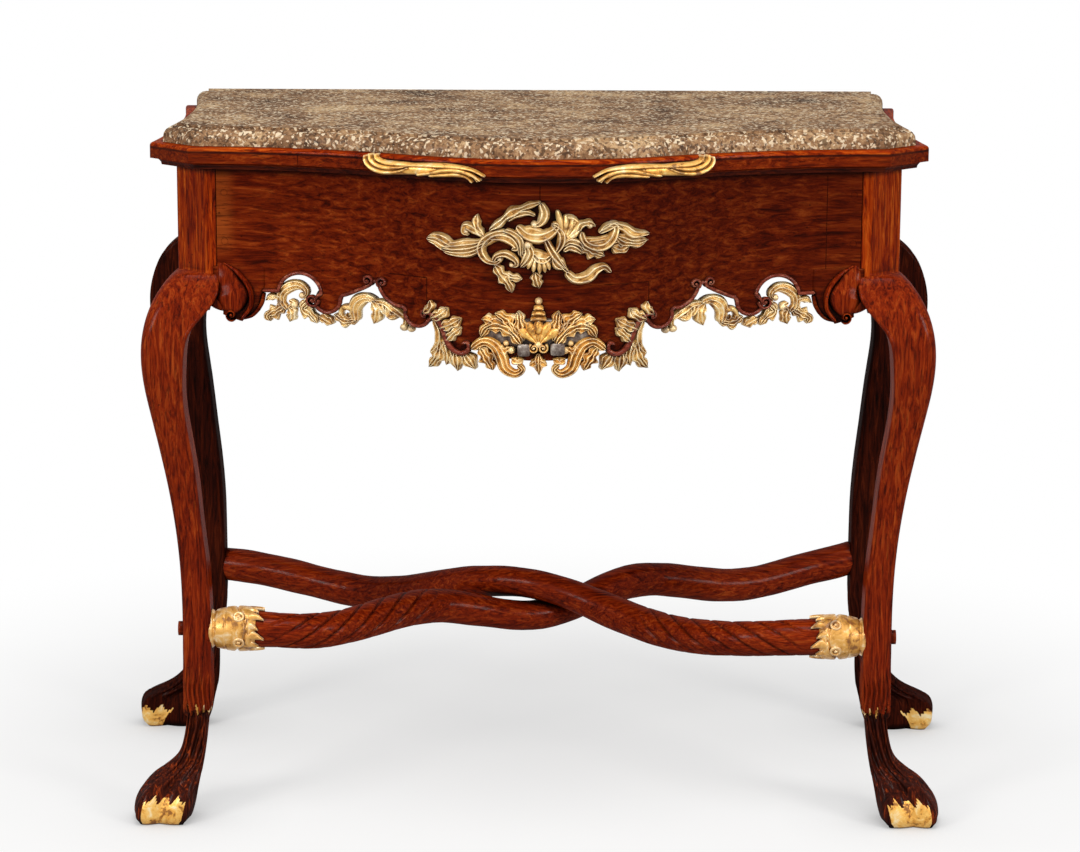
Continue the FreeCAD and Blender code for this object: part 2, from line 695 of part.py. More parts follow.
# Side and back boards
side_start = -post_rear
side_end = size("frame_back") - size("rear_thickness")
side_middle = (side_start + side_end) / 2
side_low = size("board_bottom") - size("side_apron_drop")
side_points = [
    vec(side_start, size("frame_bottom")),
    vec(side_start, size("board_bottom")),
    vec(side_start + size("side_ear_reach"), size("board_bottom")),
    vec(side_end - size("side_ear_reach"), size("board_bottom")),
    vec(side_end, size("board_bottom")),
    vec(side_end, size("frame_bottom")),
]
side_arc = Part.Arc(side_points[2], vec(side_middle, side_low), side_points[3])
side_curves = [line(a, b) for a, b in zip(side_points[:2], side_points[1:3])]
side_curves += [side_arc, line(side_points[3], side_points[4]), line(side_points[4], side_points[5])]
side_curves.append(line(side_points[5], side_points[0]))
ear_face = "dims.front_setback - dims.frame_half_width"
side_face = ear_face + " + dims.side_board_setback"
side_board = keep(sideways("side_board", side_curves, side_face, "dims.side_board_thickness"), "left_frieze")
mirrored(side_board, "right_frieze")
keep(
    block(
        "back_board",
        vec(-rear_inner, size("frame_back") - size("back_board_thickness"), size("board_bottom")),
        (
            "2 * (dims.frame_half_width - dims.rear_setback - dims.rear_post_width)",
            "dims.back_board_thickness",
            "dims.frame_bottom - dims.board_bottom",
        ),
    ),
    "back_frieze",
)


def ear_curves(start, reach, root):
    """Scrolled bracket beside a knee, from the leg's face; a negative reach points the other way."""
    drop = size("ear_drop")
    top = size("board_bottom")
    points = [vec(start + across * reach, top - down * drop) for across, down in EAR_SHARES]
    buried = start - math.copysign(root, reach)
    back = [vec(buried, points[-1].y), vec(buried, top)]
    return [
        line(points[0], points[1]),
        spline(points[1:]),
        line(points[-1], back[0]),
        line(back[0], back[1]),
        line(back[1], points[0]),
    ]


def fitted(label, piece, leg):
    """A bracket cut to the leg's curve, and its twin on the other side."""
    left = keep(boolean("Cut", label + "_fitted", piece, leg), label)
    mirrored(left, label.replace("left", "right"))


front_ear_view = ear_curves(-post_inner, size("front_ear_reach"), size("ear_root"))
front_ear_face = "dims.frame_front - dims.front_bow - dims.front_post_inset + dims.ear_proud"
front_ear = facing("front_ear", front_ear_view, front_ear_face, "dims.ear_thickness")
fitted("front_left_ear", front_ear, front_blank)
ear_width = "dims.side_board_setback + dims.side_board_thickness"
for label, start, reach, leg in (
    ("side_front_left_ear", side_start, size("side_ear_reach"), front_blank),
    ("side_rear_left_ear", side_end, -size("side_ear_reach"), rear_blank),
):
    ear_view = ear_curves(start, reach, size("side_ear_root"))
    fitted(label, sideways(label + "_body", ear_view, ear_face, ear_width), leg)


def carving(label, curves, band_piece, cutters=()):
    """Gilt ornament: a closed front view outline on a band, cut clear of what it lies against."""
    piece = front_cut(label + "_cut", curves, band_piece)
    for number, cutter in enumerate(cutters):
        piece = boolean("Cut", f"{label}_clear_{number}", piece, cutter)
    return keep(piece, label)


# Gilt carving on the front board and the apron
relief_band = skin(
    "relief_band",
    face_inset - size("carving_depth"),
    face_inset,
    "dims.board_bottom - 2 * dims.apron_drop",
    apron_height,
)
cartouche_points = [
    vec(
        across * size("cartouche_left" if across < 0 else "cartouche_right"),
        size("cartouche_level") + up * size("cartouche_half_height"),
    )
    for across, up in CARTOUCHE_SHARES
]
carving("frieze_cartouche", polygon(cartouche_points), relief_band)
shell_points = [
    vec(across * size("shell_half_width"), size("shell_top") - down * size("shell_height"))
    for across, down in SHELL_SHARES
]
carving("apron_shell", [spline(shell_points, closed=True)], relief_band)
leaf_skin = skin(
    "leaf_skin",
    face_inset,
    face_inset + size("leafwork_depth"),
    "dims.board_bottom - 2 * dims.apron_drop",
    apron_height,
)
leaf_band = boolean("Common", "leaf_band", leaf_skin, ear_space)
for label, shares in (
    ("apron_left_outer_leaf", OUTER_LEAF_SHARES),
    ("apron_left_inner_leaf", INNER_LEAF_SHARES),
    ("apron_left_drop_leaf", DROP_LEAF_SHARES),
):
    leaf = carving(label, [spline(apron_points(shares), closed=True)], leaf_band, (apron,))
    mirrored(leaf, label.replace("left", "right"))

# Gilt clasps on the front of the moulded frame
clasp_band = skin(
    "clasp_band",
    -size("clasp_depth"),
    size("slab_inset") / 2,
    "dims.slab_bottom - 2 * dims.clasp_height",
    "3 * dims.clasp_height",
)
clasp_low = size("slab_bottom") - size("clasp_height")
clasp_length = size("clasp_outer") - size("clasp_inner")
clasp_points = [
    vec(-size("clasp_inner") - across * clasp_length, clasp_low + up * size("clasp_height"))
    for across, up in CLASP_SHARES
]
clasp = carving("left_clasp", [spline(clasp_points, closed=True)], clasp_band, (frame_blank,))
mirrored(clasp, "right_clasp")

# Hidden woodwork: glue blocks in the corners and bearers under the slab
leg_of_block = size("block_leg")
block_level = "dims.frame_bottom - dims.block_height"
front_corner = vec(-post_inner, -post_face + size("frieze_thickness") / 2)
rear_corner = vec(-rear_inner, size("frame_back") - size("back_board_thickness"))
front_block = upright(
    "front_block",
    polygon([front_corner, front_corner + vec(leg_of_block, 0), front_corner + vec(0, leg_of_block)]),
    block_level,
    "dims.block_height",
)
fitted_block = keep(boolean("Cut", "front_block_fitted", front_block, board_band), "front_left_block")
mirrored(fitted_block, "front_right_block")
rear_block = keep(
    upright(
        "rear_block",
        polygon([rear_corner, rear_corner - vec(0, leg_of_block), rear_corner + vec(leg_of_block, 0)]),
        block_level,
        "dims.block_height",
    ),
    "rear_left_block",
)
mirrored(rear_block, "rear_right_block")
bearer_bar = block(
    "bearer_bar",
    vec(
        -size("bearer_place") - size("bearer_width") / 2,
        -size("frame_front"),
        size("slab_bottom") - size("bearer_height"),
    ),
    ("dims.bearer_width", "dims.frame_front + dims.frame_back", "dims.bearer_height"),
)
bearer = keep(boolean("Common", "bearer_fitted", opening, bearer_bar), "left_bearer")
mirrored(bearer, "right_bearer")


def failures():
    """Names of objects that failed to build, and of pieces without a sound shape."""
    bad = [o.Label for o in doc.Objects if "Invalid" in o.State or "Error" in o.State]
    bad += [p.Label for p in PARTS if p.Shape.isNull() or not p.Shape.isValid() or not p.Shape.Solids]
    return bad


doc.recompute()
if failures():
    raise SystemExit("failed: " + ", ".join(failures()))
os.makedirs("parts", exist_ok=True)
for piece in PARTS:
    piece.Shape.exportStep(f"parts/{piece.Label}.step")
    print(piece.Label, len(piece.Shape.Solids), round(piece.Shape.Volume))
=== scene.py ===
import math

import bmesh
import bpy
from mathutils import Euler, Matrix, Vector, noise


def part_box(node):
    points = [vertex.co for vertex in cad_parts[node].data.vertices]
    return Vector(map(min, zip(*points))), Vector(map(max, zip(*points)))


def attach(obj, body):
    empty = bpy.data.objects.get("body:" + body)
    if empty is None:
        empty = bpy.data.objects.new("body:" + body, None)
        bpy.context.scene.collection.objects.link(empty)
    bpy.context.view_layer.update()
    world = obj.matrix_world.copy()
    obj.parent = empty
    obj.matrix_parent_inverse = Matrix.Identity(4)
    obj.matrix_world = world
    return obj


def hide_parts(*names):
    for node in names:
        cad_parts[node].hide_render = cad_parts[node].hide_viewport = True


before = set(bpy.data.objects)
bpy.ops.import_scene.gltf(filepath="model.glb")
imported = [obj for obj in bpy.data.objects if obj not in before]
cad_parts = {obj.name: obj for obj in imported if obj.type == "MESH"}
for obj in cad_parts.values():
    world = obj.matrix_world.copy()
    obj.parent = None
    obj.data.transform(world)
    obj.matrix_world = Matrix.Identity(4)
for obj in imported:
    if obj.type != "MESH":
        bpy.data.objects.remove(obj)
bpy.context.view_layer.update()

# Looks of the wall side table: polished figured wood, old gilding and a fossil-marble slab.
# Front is -Y, +Z is up, lengths are metres.

# Camera: where it stands, how it is turned, and its lens on a 36 mm sensor
CAMERA_PLACE = (0.0022, -3.779, 1.25875)
CAMERA_PITCH = math.radians(12.086)
CAMERA_ROLL = 0.0046
CAMERA_LENS = 107.18
CAMERA_SENSOR = 36.0

scene = bpy.context.scene


def colour(red, green, blue):
    """Linear colour from display values between 0 and 255."""
    parts = [value / 255 for value in (red, green, blue)]
    return tuple(((p + 0.055) / 1.055) ** 2.4 if p > 0.04045 else p / 12.92 for p in parts) + (1.0,)


def shades(*values):
    """Linear colours of one surface, from dark to light."""
    return [colour(*value) for value in values]


class Graph:
    """Node tree of a material or of the world, with short calls for the nodes used here."""

    def __init__(self, owner):
        self.owner = owner
        owner.use_nodes = True
        self.tree = owner.node_tree
        self.tree.nodes.clear()
        self.place = self.add("ShaderNodeTexCoord").outputs["Object"]

    def add(self, kind, **settings):
        node = self.tree.nodes.new(kind)
        for key, value in settings.items():
            setattr(node, key, value)
        return node

    def feed(self, socket, value):
        """Links an output to a socket, or sets the socket's own value."""
        if isinstance(value, bpy.types.NodeSocket):
            self.tree.links.new(value, socket)
        else:
            socket.default_value = value

    def fed(self, kind, values, **settings):
        """New node with its inputs fed by name or number."""
        node = self.add(kind, **settings)
        for key, value in values.items():
            self.feed(node.inputs[key], value)
        return node

    def along(self, axis, share):
        """The object's own coordinates, drawn out along one axis."""
        scale = [share if name == axis else 1.0 for name in "XYZ"]
        return self.fed("ShaderNodeMapping", {"Vector": self.place, "Scale": scale}).outputs["Vector"]

    def noise(self, place, scale, detail=6.0, rough=0.6, twist=0.0):
        values = {"Vector": place, "Scale": scale, "Detail": detail}
        values |= {"Roughness": rough, "Distortion": twist}
        return self.fed("ShaderNodeTexNoise", values).outputs["Fac"]

    def cells(self, place, scale, output="Distance"):
        return self.fed("ShaderNodeTexVoronoi", {"Vector": place, "Scale": scale}).outputs[output]

    def ramp(self, value, stops, colours):
        node = self.fed("ShaderNodeValToRGB", {"Fac": value})
        elements = node.color_ramp.elements
        while len(elements) < len(stops):
            elements.new(0.5)
        for element, place, shade in zip(elements, stops, colours):
            element.position = place
            element.color = shade
        return node.outputs["Color"]

    def steps(self, value, low, high, start=0.0, end=1.0):
        """A value taken from one range to another, smoothly and within limits."""
        values = {"Value": value, "From Min": low, "From Max": high, "To Min": start, "To Max": end}
        return self.fed("ShaderNodeMapRange", values, interpolation_type="SMOOTHSTEP").outputs["Result"]

    def sum(self, kind, first, second):
        return self.fed("ShaderNodeMath", {0: first, 1: second}, operation=kind).outputs["Value"]

    def times(self, first, second):
        return self.sum("MULTIPLY", first, second)

    def plus(self, first, second, share=1.0):
        """First value and a share of the second."""
        return self.sum("ADD", first, self.times(second, share))

    def rest(self, value):
        return self.sum("SUBTRACT", 1.0, value)

    def over(self, base, shade, mask, share=1.0):
        """Base with a share of another colour over it where the mask is set."""
        values = {"Factor": self.times(mask, share), 6: base, 7: shade}
        return self.fed("ShaderNodeMix", values, data_type="RGBA").outputs[2]

    def attribute(self, name):
        return self.add("ShaderNodeAttribute", attribute_name=name).outputs["Fac"]

    def level(self, axis="Z"):
        """One coordinate of the place."""
        return self.fed("ShaderNodeSeparateXYZ", {0: self.place}).outputs[axis]

    def edges(self):
        """How far a surface bends outwards, from 0 in hollows to 1 on edges."""
        return self.add("ShaderNodeNewGeometry").outputs["Pointiness"]

    def hollows(self, distance):
        """How open a surface is, from 0 deep in hollows to 1."""
        return self.fed("ShaderNodeAmbientOcclusion", {"Distance": distance}, samples=8).outputs["AO"]

    def bump(self, height, strength, distance, under=None):
        values = {"Height": height, "Strength": strength, "Distance": distance}
        if under is not None:
            values["Normal"] = under
        return self.fed("ShaderNodeBump", values).outputs["Normal"]

    def shader(self, base, rough, normal, metal=0.0, coat=0.0, coat_rough=0.1, specular=0.0):
        values = {"Base Color": base, "Roughness": rough, "Normal": normal, "Metallic": metal}
        node = self.fed("ShaderNodeBsdfPrincipled", values)
        node.inputs["Coat Weight"].default_value = coat
        node.inputs["Coat Roughness"].default_value = coat_rough
        node.inputs["Specular IOR Level"].default_value = specular
        return node.outputs["BSDF"]

    def done(self, shader, kind="Material"):
        self.fed("ShaderNodeOutput" + kind, {"Surface": shader})
        return self.owner


# Shades of wood and gilding from dark to light
RED_WOOD = shades((50, 10, 4), (108, 27, 6), (140, 44, 11), (172, 75, 26))
GOLDEN_WOOD = shades((50, 9, 2), (96, 24, 4), (122, 39, 8), (158, 68, 22))
POST_WOOD = shades((46, 8, 2), (124, 30, 2), (168, 58, 6), (212, 102, 28))
DARK_WOOD = shades((16, 5, 3), (44, 13, 7), (64, 20, 9), (92, 36, 16))
FOOT_WOOD = shades((18, 6, 5), (46, 16, 10), (72, 25, 13), (168, 66, 22))
FASCIA_WOOD = shades((50, 10, 2), (100, 26, 3), (126, 40, 6), (158, 68, 18))
# Painted shade of the frame's cove, on the frame below the fascia
COVE_SHADE_WOOD = shades((24, 6, 2), (58, 15, 5), (80, 24, 8), (104, 38, 14))
BEAD_SHADES = shades((54, 18, 10), (112, 42, 26), (142, 62, 42), (204, 138, 106))
PLAIN_WOOD = shades((74, 46, 28), (124, 86, 52), (150, 108, 68), (176, 136, 92))
GILT_SHADES = shades((176, 110, 42), (228, 164, 72), (248, 198, 108), (255, 240, 198))
PALE_SHADES = shades((164, 112, 52), (220, 172, 98), (242, 208, 140), (255, 244, 214))
MASK_SHADES = shades((148, 92, 32), (200, 140, 58), (228, 172, 88), (255, 236, 196))
LOST_SHADES = shades((60, 40, 32), (112, 98, 90), (168, 158, 148))
STONE_SHADES = shades((60, 42, 34), (124, 93, 68), (156, 119, 86), (204, 170, 128))
# Brown of the ground under the gilding, also used for painted shade in the gilding's hollows
GILT_GROUND_AND_SHADE = colour(116, 68, 32)
# Near-black brown for worm holes, for the darkening towards the right of the front board, and for
# painted shade in hollows
DARK_PIT_AND_SHADE = colour(20, 6, 4)
RUBBED_WOOD = colour(170, 84, 32)
DARK_SHELL = colour(66, 50, 42)
PALE_SHELL = colour(238, 218, 186)
FLECK = colour(222, 208, 184)
PIT = colour(58, 42, 34)
# Places of the shades on the noises they colour
WOOD_STOPS = (0.35, 0.45, 0.54, 0.66)
GILT_STOPS = (0.3, 0.43, 0.56, 0.72)
LOST_STOPS = (0.35, 0.5, 0.65)
STONE_STOPS = (0.38, 0.45, 0.51, 0.58)
# Noises as scale, detail, roughness and twist; the figure's length and twist depend on the board
FIBRES = (420.0, 7.0, 0.7)
FIGURE = (150.0, 7.0, 0.7)
CLOUDS = (10.0, 4.0, 0.55, 0.6)
SWELLS = (26.0, 3.0)
LEAF_PATCHES = (60.0, 5.0, 0.65, 0.6)
LEAF_GRAIN = (300.0, 5.0, 0.6)
LOST_PATCHES = (90.0, 5.0, 0.65)
LOST_GRAIN = (400.0, 4.0)
STONE_CLOUDS = (11.0, 7.0, 0.68)
STONE_CRUMBS = (150.0, 6.0, 0.72, 0.8)
RAGGED_SCALE = 160.0
FIBRE_LENGTH = 0.06
CLOUD_LENGTH = 0.4
FRONT_FIGURE = (0.035, 0.6)
OTHER_FIGURE = (0.1, 1.6)
# Stone: how its shells are bent, and how dense shells and flecks lie
SWIRL_SCALE = 60.0
SWIRL_REACH = 0.014
SHELL_DENSITY = 330.0
FLECK_DENSITY = 260.0
WORM_HOLES = 48.0
# How near surfaces have to be for painted shade to darken the hollows between them
WOOD_HOLLOW = 0.014
GILT_HOLLOW = 0.004
LOST_HOLLOW = 0.006
# Ranges of the masks over wood, gilding, lost gilding and stone, and of their roughness and metal
HOLE_RANGE = (0.07, 0.03)
PORE_RANGE = (0.36, 0.5)
WORN_EDGES = (0.53, 0.6)
WORN_CLOUDS = (0.42, 0.6)
WOOD_OPEN = (0.35, 0.95)
WOOD_ROUGH = (0.4, 0.8, 0.3, 0.5)
BARE_RANGE = (0.67, 0.56)
RIDGE_RANGE = (0.52, 0.6)
GILT_OPEN = (0.1, 0.65)
GILT_ROUGH = (0.3, 0.7, 0.5, 0.3)
GILT_METAL = (0.0, 1.0, 0.35, 0.05)
GILT_EDGE = (0.62, 0.82)
LOST_OPEN = (0.3, 0.9)
LOST_ROUGH = (0.3, 0.7, 0.6, 0.35)
DARK_SHELLS = (0.74, 0.78)
PALE_SHELLS = (0.83, 0.86)
FLECK_RANGE = (0.26, 0.16)
PIT_RANGE = (0.36, 0.3)
STONE_ROUGH = (0.3, 0.7, 0.28, 0.42)
# Bumps as strength and depth
FIBRE_BUMP = (0.12, 0.0006)
SWELL_BUMP = (0.14, 0.003)
LEAF_BUMP = (0.2, 0.0005)
PATCH_BUMP = (0.25, 0.002)
LOST_BUMP = (0.2, 0.0006)
STONE_BUMP = (0.14, 0.0012)
# Levels where the wood's colour changes: tufts over the foot, knee under the post, and the frame's
# cove and quirk, where the darker bands are painted shade
TUFT_LEVEL = 0.131
KNEE_TOP = 0.655
COVE_TOP = 0.7825
QUIRK_BOTTOM = 0.7972
QUIRK_TOP = 0.7998
BAND_SOFT = 0.0007
# Front board: where it darkens towards the right, and the pale strip beside the left post
DARKER_FROM, DARKER_TO, DARKER_SHARE = -0.22, 0.06, 0.3
STRIP_EDGE, STRIP_FULL = -0.344, -0.363
STRIP_BOTTOM, STRIP_TOP = 0.668, 0.7
STRIP_CLOUDS = (0.3, 0.55)


def front_tone_and_rub(graph, base, clouds):
    """Front board: darker towards the right, and rubbed pale beside the left post."""
    across = graph.level("X")
    base = graph.over(base, DARK_PIT_AND_SHADE, graph.steps(across, DARKER_FROM, DARKER_TO, 0.0, DARKER_SHARE))
    strip = graph.steps(across, STRIP_EDGE, STRIP_FULL)
    strip = graph.times(strip, graph.steps(graph.level(), STRIP_BOTTOM, STRIP_TOP))
    strip = graph.times(strip, graph.steps(clouds, *STRIP_CLOUDS))
    return graph.over(base, RUBBED_WOOD, strip, 0.5)


def wood_surface(graph, axis, tones, polish, bands=(), cloudy=0.2, front=False):
    """Polished figured wood with its grain along one axis; bands are other shades above a level."""
    dark, light = tones[0], tones[-1]
    length, twist = FRONT_FIGURE if front else OTHER_FIGURE
    fibres = graph.noise(graph.along(axis, FIBRE_LENGTH), *FIBRES)
    figure = graph.noise(graph.along(axis, length), *FIGURE, twist)
    clouds = graph.noise(graph.along(axis, CLOUD_LENGTH), *CLOUDS)
    tone = graph.plus(graph.times(figure, 1.0 - cloudy), clouds, cloudy)
    base = graph.ramp(tone, WOOD_STOPS, tones)
    for level, other in bands:
        above = graph.steps(graph.level(), level - BAND_SOFT, level + BAND_SOFT)
        base = graph.over(base, graph.ramp(tone, WOOD_STOPS, other), above)
    if front:
        base = front_tone_and_rub(graph, base, clouds)
    base = graph.over(base, DARK_PIT_AND_SHADE, graph.steps(graph.cells(graph.place, WORM_HOLES), *HOLE_RANGE), 0.7)
    base = graph.over(base, dark, graph.rest(graph.steps(fibres, *PORE_RANGE)), 0.6)
    if not front:
        worn = graph.times(graph.steps(graph.edges(), *WORN_EDGES), graph.steps(clouds, *WORN_CLOUDS))
        base = graph.over(base, light, worn, 0.5)
    # Painted shade: the wood darkens where surfaces close in on it
    base = graph.over(base, DARK_PIT_AND_SHADE, graph.rest(graph.steps(graph.hollows(WOOD_HOLLOW), *WOOD_OPEN)))
    rough = graph.steps(graph.plus(clouds, fibres, 0.3), *WOOD_ROUGH)
    normal = graph.bump(fibres, *FIBRE_BUMP)
    normal = graph.bump(graph.noise(graph.place, *SWELLS), *SWELL_BUMP, normal)
    return graph.shader(base, rough, normal, coat=polish, coat_rough=0.18)


def gilt_surface(graph, tones=GILT_SHADES, coat=0.0):
    """Old water gilding: warm leaf, rubbed through to brown in places, with painted shade in the
    hollows, where it is also less metallic.
    """
    patches = graph.noise(graph.place, *LEAF_PATCHES)
    fine = graph.noise(graph.place, *LEAF_GRAIN)
    bare = graph.steps(graph.plus(patches, fine, 0.4), *BARE_RANGE)
    base = graph.over(graph.ramp(patches, GILT_STOPS, tones), GILT_GROUND_AND_SHADE, bare, 0.7)
    base = graph.over(base, tones[-1], graph.steps(graph.edges(), *RIDGE_RANGE), 0.7)
    # Painted shade: the gilding turns to the ground's brown in its hollows, which also get less metal
    hollow_shade = graph.rest(graph.steps(graph.hollows(GILT_HOLLOW), *GILT_OPEN))
    base = graph.over(base, GILT_GROUND_AND_SHADE, hollow_shade)
    rough = graph.steps(patches, *GILT_ROUGH)
    metal = graph.steps(graph.plus(bare, hollow_shade), *GILT_METAL)
    normal = graph.bump(patches, *PATCH_BUMP, graph.bump(fine, *LEAF_BUMP))
    return graph.shader(base, rough, normal, metal, coat, 0.25, specular=0.25)


def worn_ground(name):
    """Grey-brown ground with grey spots where the gilding is lost."""
    graph = Graph(bpy.data.materials.new(name))
    patches = graph.noise(graph.place, *LOST_PATCHES)
    # Painted shade: the ground darkens in its hollows
    hollow_shade = graph.rest(graph.steps(graph.hollows(LOST_HOLLOW), *LOST_OPEN))
    base = graph.over(graph.ramp(patches, LOST_STOPS, LOST_SHADES), DARK_PIT_AND_SHADE, hollow_shade)
    rough = graph.steps(patches, *LOST_ROUGH)
    normal = graph.bump(graph.noise(graph.place, *LOST_GRAIN), *LOST_BUMP)
    return graph.done(graph.shader(base, rough, normal, metal=0.3, specular=0.4))


def wood(name, axis, tones, polish=0.08, **looks):
    graph = Graph(bpy.data.materials.new(name))
    return graph.done(wood_surface(graph, axis, tones, polish, **looks))


def gilt(name, tones=GILT_SHADES, coat=0.0):
    graph = Graph(bpy.data.materials.new(name))
    return graph.done(gilt_surface(graph, tones, coat))


def gilded_wood(name, axis, tones, polish=0.08, bands=()):
    """Wood with gilding where the mesh's gilt attribute is set."""
    graph = Graph(bpy.data.materials.new(name))
    ragged = graph.plus(graph.attribute("gilt"), graph.noise(graph.place, RAGGED_SCALE), 0.5)
    under = wood_surface(graph, axis, tones, polish, bands)
    both = {0: graph.steps(ragged, *GILT_EDGE), 1: under, 2: gilt_surface(graph)}
    return graph.done(graph.fed("ShaderNodeMixShader", both).outputs["Shader"])


def marble(name):
    """Brown-grey fossil marble: small pale and dark shells in a clouded ground."""
    graph = Graph(bpy.data.materials.new(name))
    warp = graph.noise(graph.place, *STONE_CLOUDS)
    crumbs = graph.noise(graph.place, *STONE_CRUMBS)
    swirl = graph.fed("ShaderNodeTexNoise", {"Vector": graph.place, "Scale": SWIRL_SCALE})
    values = {0: swirl.outputs["Color"], "Scale": SWIRL_REACH}
    lift = graph.fed("ShaderNodeVectorMath", values, operation="SCALE")
    values = {0: graph.place, 1: lift.outputs["Vector"]}
    place = graph.fed("ShaderNodeVectorMath", values, operation="ADD").outputs["Vector"]
    base = graph.ramp(graph.plus(graph.times(warp, 0.55), crumbs, 0.45), STONE_STOPS, STONE_SHADES)
    shells = graph.cells(place, SHELL_DENSITY, "Color")
    tint = graph.fed("ShaderNodeSeparateColor", {"Color": shells}).outputs
    base = graph.over(base, DARK_SHELL, graph.steps(tint["Red"], *DARK_SHELLS), 0.65)
    base = graph.over(base, PALE_SHELL, graph.steps(tint["Green"], *PALE_SHELLS), 0.85)
    base = graph.over(base, FLECK, graph.steps(graph.cells(place, FLECK_DENSITY), *FLECK_RANGE), 0.4)
    base = graph.over(base, PIT, graph.steps(crumbs, *PIT_RANGE), 0.6)
    rough = graph.steps(warp, *STONE_ROUGH)
    normal = graph.bump(crumbs, *STONE_BUMP)
    return graph.done(graph.shader(base, rough, normal, coat=0.04, coat_rough=0.16))


# Frame: painted shade in the cove below COVE_TOP and as a dark line at the quirk; fascia between them,
# lip above in the posts' golden wood
FRAME_BANDS = ((COVE_TOP, FASCIA_WOOD), (QUIRK_BOTTOM, DARK_WOOD), (QUIRK_TOP, POST_WOOD))
LEG_BANDS = ((TUFT_LEVEL, RED_WOOD), (KNEE_TOP, POST_WOOD))

WOOD_Z = wood("leg_wood", "Z", RED_WOOD)
WOOD_X = wood("frieze_wood", "X", GOLDEN_WOOD, polish=0.05, cloudy=0.08, front=True)
WOOD_Y = wood("side_wood", "Y", RED_WOOD)
RAIL_WOOD = wood("rail_wood", "X", RED_WOOD)
REAR_WOOD = gilded_wood("rear_leg_wood", "Z", DARK_WOOD, polish=0.03)
LEG_WOOD = gilded_wood("front_leg_wood", "Z", FOOT_WOOD, bands=LEG_BANDS)
FRAME_WOOD_X = wood("frame_front_wood", "X", COVE_SHADE_WOOD, bands=FRAME_BANDS)
FRAME_WOOD_Y = wood("frame_side_wood", "Y", COVE_SHADE_WOOD, bands=FRAME_BANDS)
EAR_WOOD = wood("ear_wood", "Z", RED_WOOD, polish=0.06)
BEAD_WOOD = wood("bead_wood", "X", BEAD_SHADES, polish=0.3)
BARE_WOOD = wood("bare_wood", "X", PLAIN_WOOD, polish=0.0)
GILT = gilt("old_gilding")
PALE_GILT = gilt("pale_gilding", PALE_SHADES)
MASK_GILT = gilt("mask_gilding", MASK_SHADES, 0.3)
WORN_GROUND = worn_ground("worn_ground")
SEAM_WOOD = wood("seam_wood", "X", DARK_WOOD, polish=0.0)
MARBLE = marble("fossil_marble")


MM = 0.001

# Plan of the serpentine front: left corner, bow, share of the hollow arc, and how far the boards lie in
FRONT_CORNER = (0.397, -0.161)
FRONT_BOW = 0.105
HOLLOW_SHARE = 0.6
BOARD_INSET = 0.030
# Steps of a soft curve between two of its points, and millimetres between the rows of a stroke
CURVE_STEPS = 12
STROKE_STEP = 0.9
STROKE_COLUMNS = 10
FLUTE_COLUMNS = 6
# How deep the lobes cut into a leaf's edges and the flutes into its face, and how a thin part sinks
LOBE_SHARE = 0.42
FLUTE_SHARE = 0.5
THIN_LIFT = 0.45
BACK_SHARE = 0.8
END_SHARE = 0.06
# Raised patches: points round the edge, how square the corners are, and how far the back lies in
PLATE_POINTS = 24
PLATE_SQUARE = 0.4
PLATE_BACK = -4.0
VOLUTE_POINTS = 14
VOLUTE_INNER = 0.25
SCROLL_TAPER = (1.0, 0.9, 0.8, 0.7)
EYE_WIDTH = 0.34
EYE_HEIGHT = 1.15


def in_scene(name, data):
    """New object in the scene."""
    made = bpy.data.objects.new(name, data)
    scene.collection.objects.link(made)
    return made


def solid(name):
    """Mesh of a CAD node in the shared frame."""
    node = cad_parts[name]
    shape = bmesh.new()
    shape.from_mesh(node.data)
    shape.transform(node.matrix_world)
    return shape


class Clay:
    """Points and faces of one piece, gathered from rows of points."""

    def __init__(self):
        self.points = []
        self.faces = []
        self.gilt = {}

    def rows(self, rows, closed=True, ends=True):
        """Skin over rows of points; closed rows are rings, whose ends can be shut."""
        start, count = len(self.points), len(rows[0])
        for row in rows:
            self.points.extend(row)
        for level in range(len(rows) - 1):
            for place in range(count if closed else count - 1):
                here = start + level * count + place
                aside = start + level * count + (place + 1) % count
                self.faces.append((here, aside, aside + count, here + count))
        if closed and ends:
            for first in (start, start + (len(rows) - 1) * count):
                ring = self.points[first : first + count]
                self.points.append(sum(ring, Vector()) / count)
                middle = len(self.points) - 1
                for place in range(count):
                    self.faces.append((first + place, first + (place + 1) % count, middle))
        return start

    def ball(self, middle, across, up, out, rings=8, sides=14):
        """Egg with three half axes given as vectors."""
        rows = []
        for level in range(1, rings):
            tilt = math.pi * level / rings
            row = []
            for place in range(sides):
                turn = math.tau * place / sides
                aside = across * math.cos(turn) + up * math.sin(turn)
                row.append(middle + aside * math.sin(tilt) + out * math.cos(tilt))
            rows.append(row)
        self.rows(rows)

    def piece(self, name, material, nodes=(), body="stand", slot="figured_wood"):
        """Makes the object, lets it ride on a body and stand for its CAD nodes."""
        mesh = bpy.data.meshes.new(name)
        mesh.from_pydata([tuple(p) for p in self.points], [], self.faces)
        shape = bmesh.new()
        shape.from_mesh(mesh)
        bmesh.ops.recalc_face_normals(shape, faces=shape.faces)
        shape.to_mesh(mesh)
        shape.free()
        mesh.shade_smooth()
        if self.gilt:
            layer = mesh.attributes.new("gilt", "FLOAT", "POINT")
            for place, amount in self.gilt.items():
                layer.data[place].value = amount
        mesh.materials.append(material)
        made = in_scene(name, mesh)
        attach(made, body)
        if nodes:
            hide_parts(*nodes)
        return made


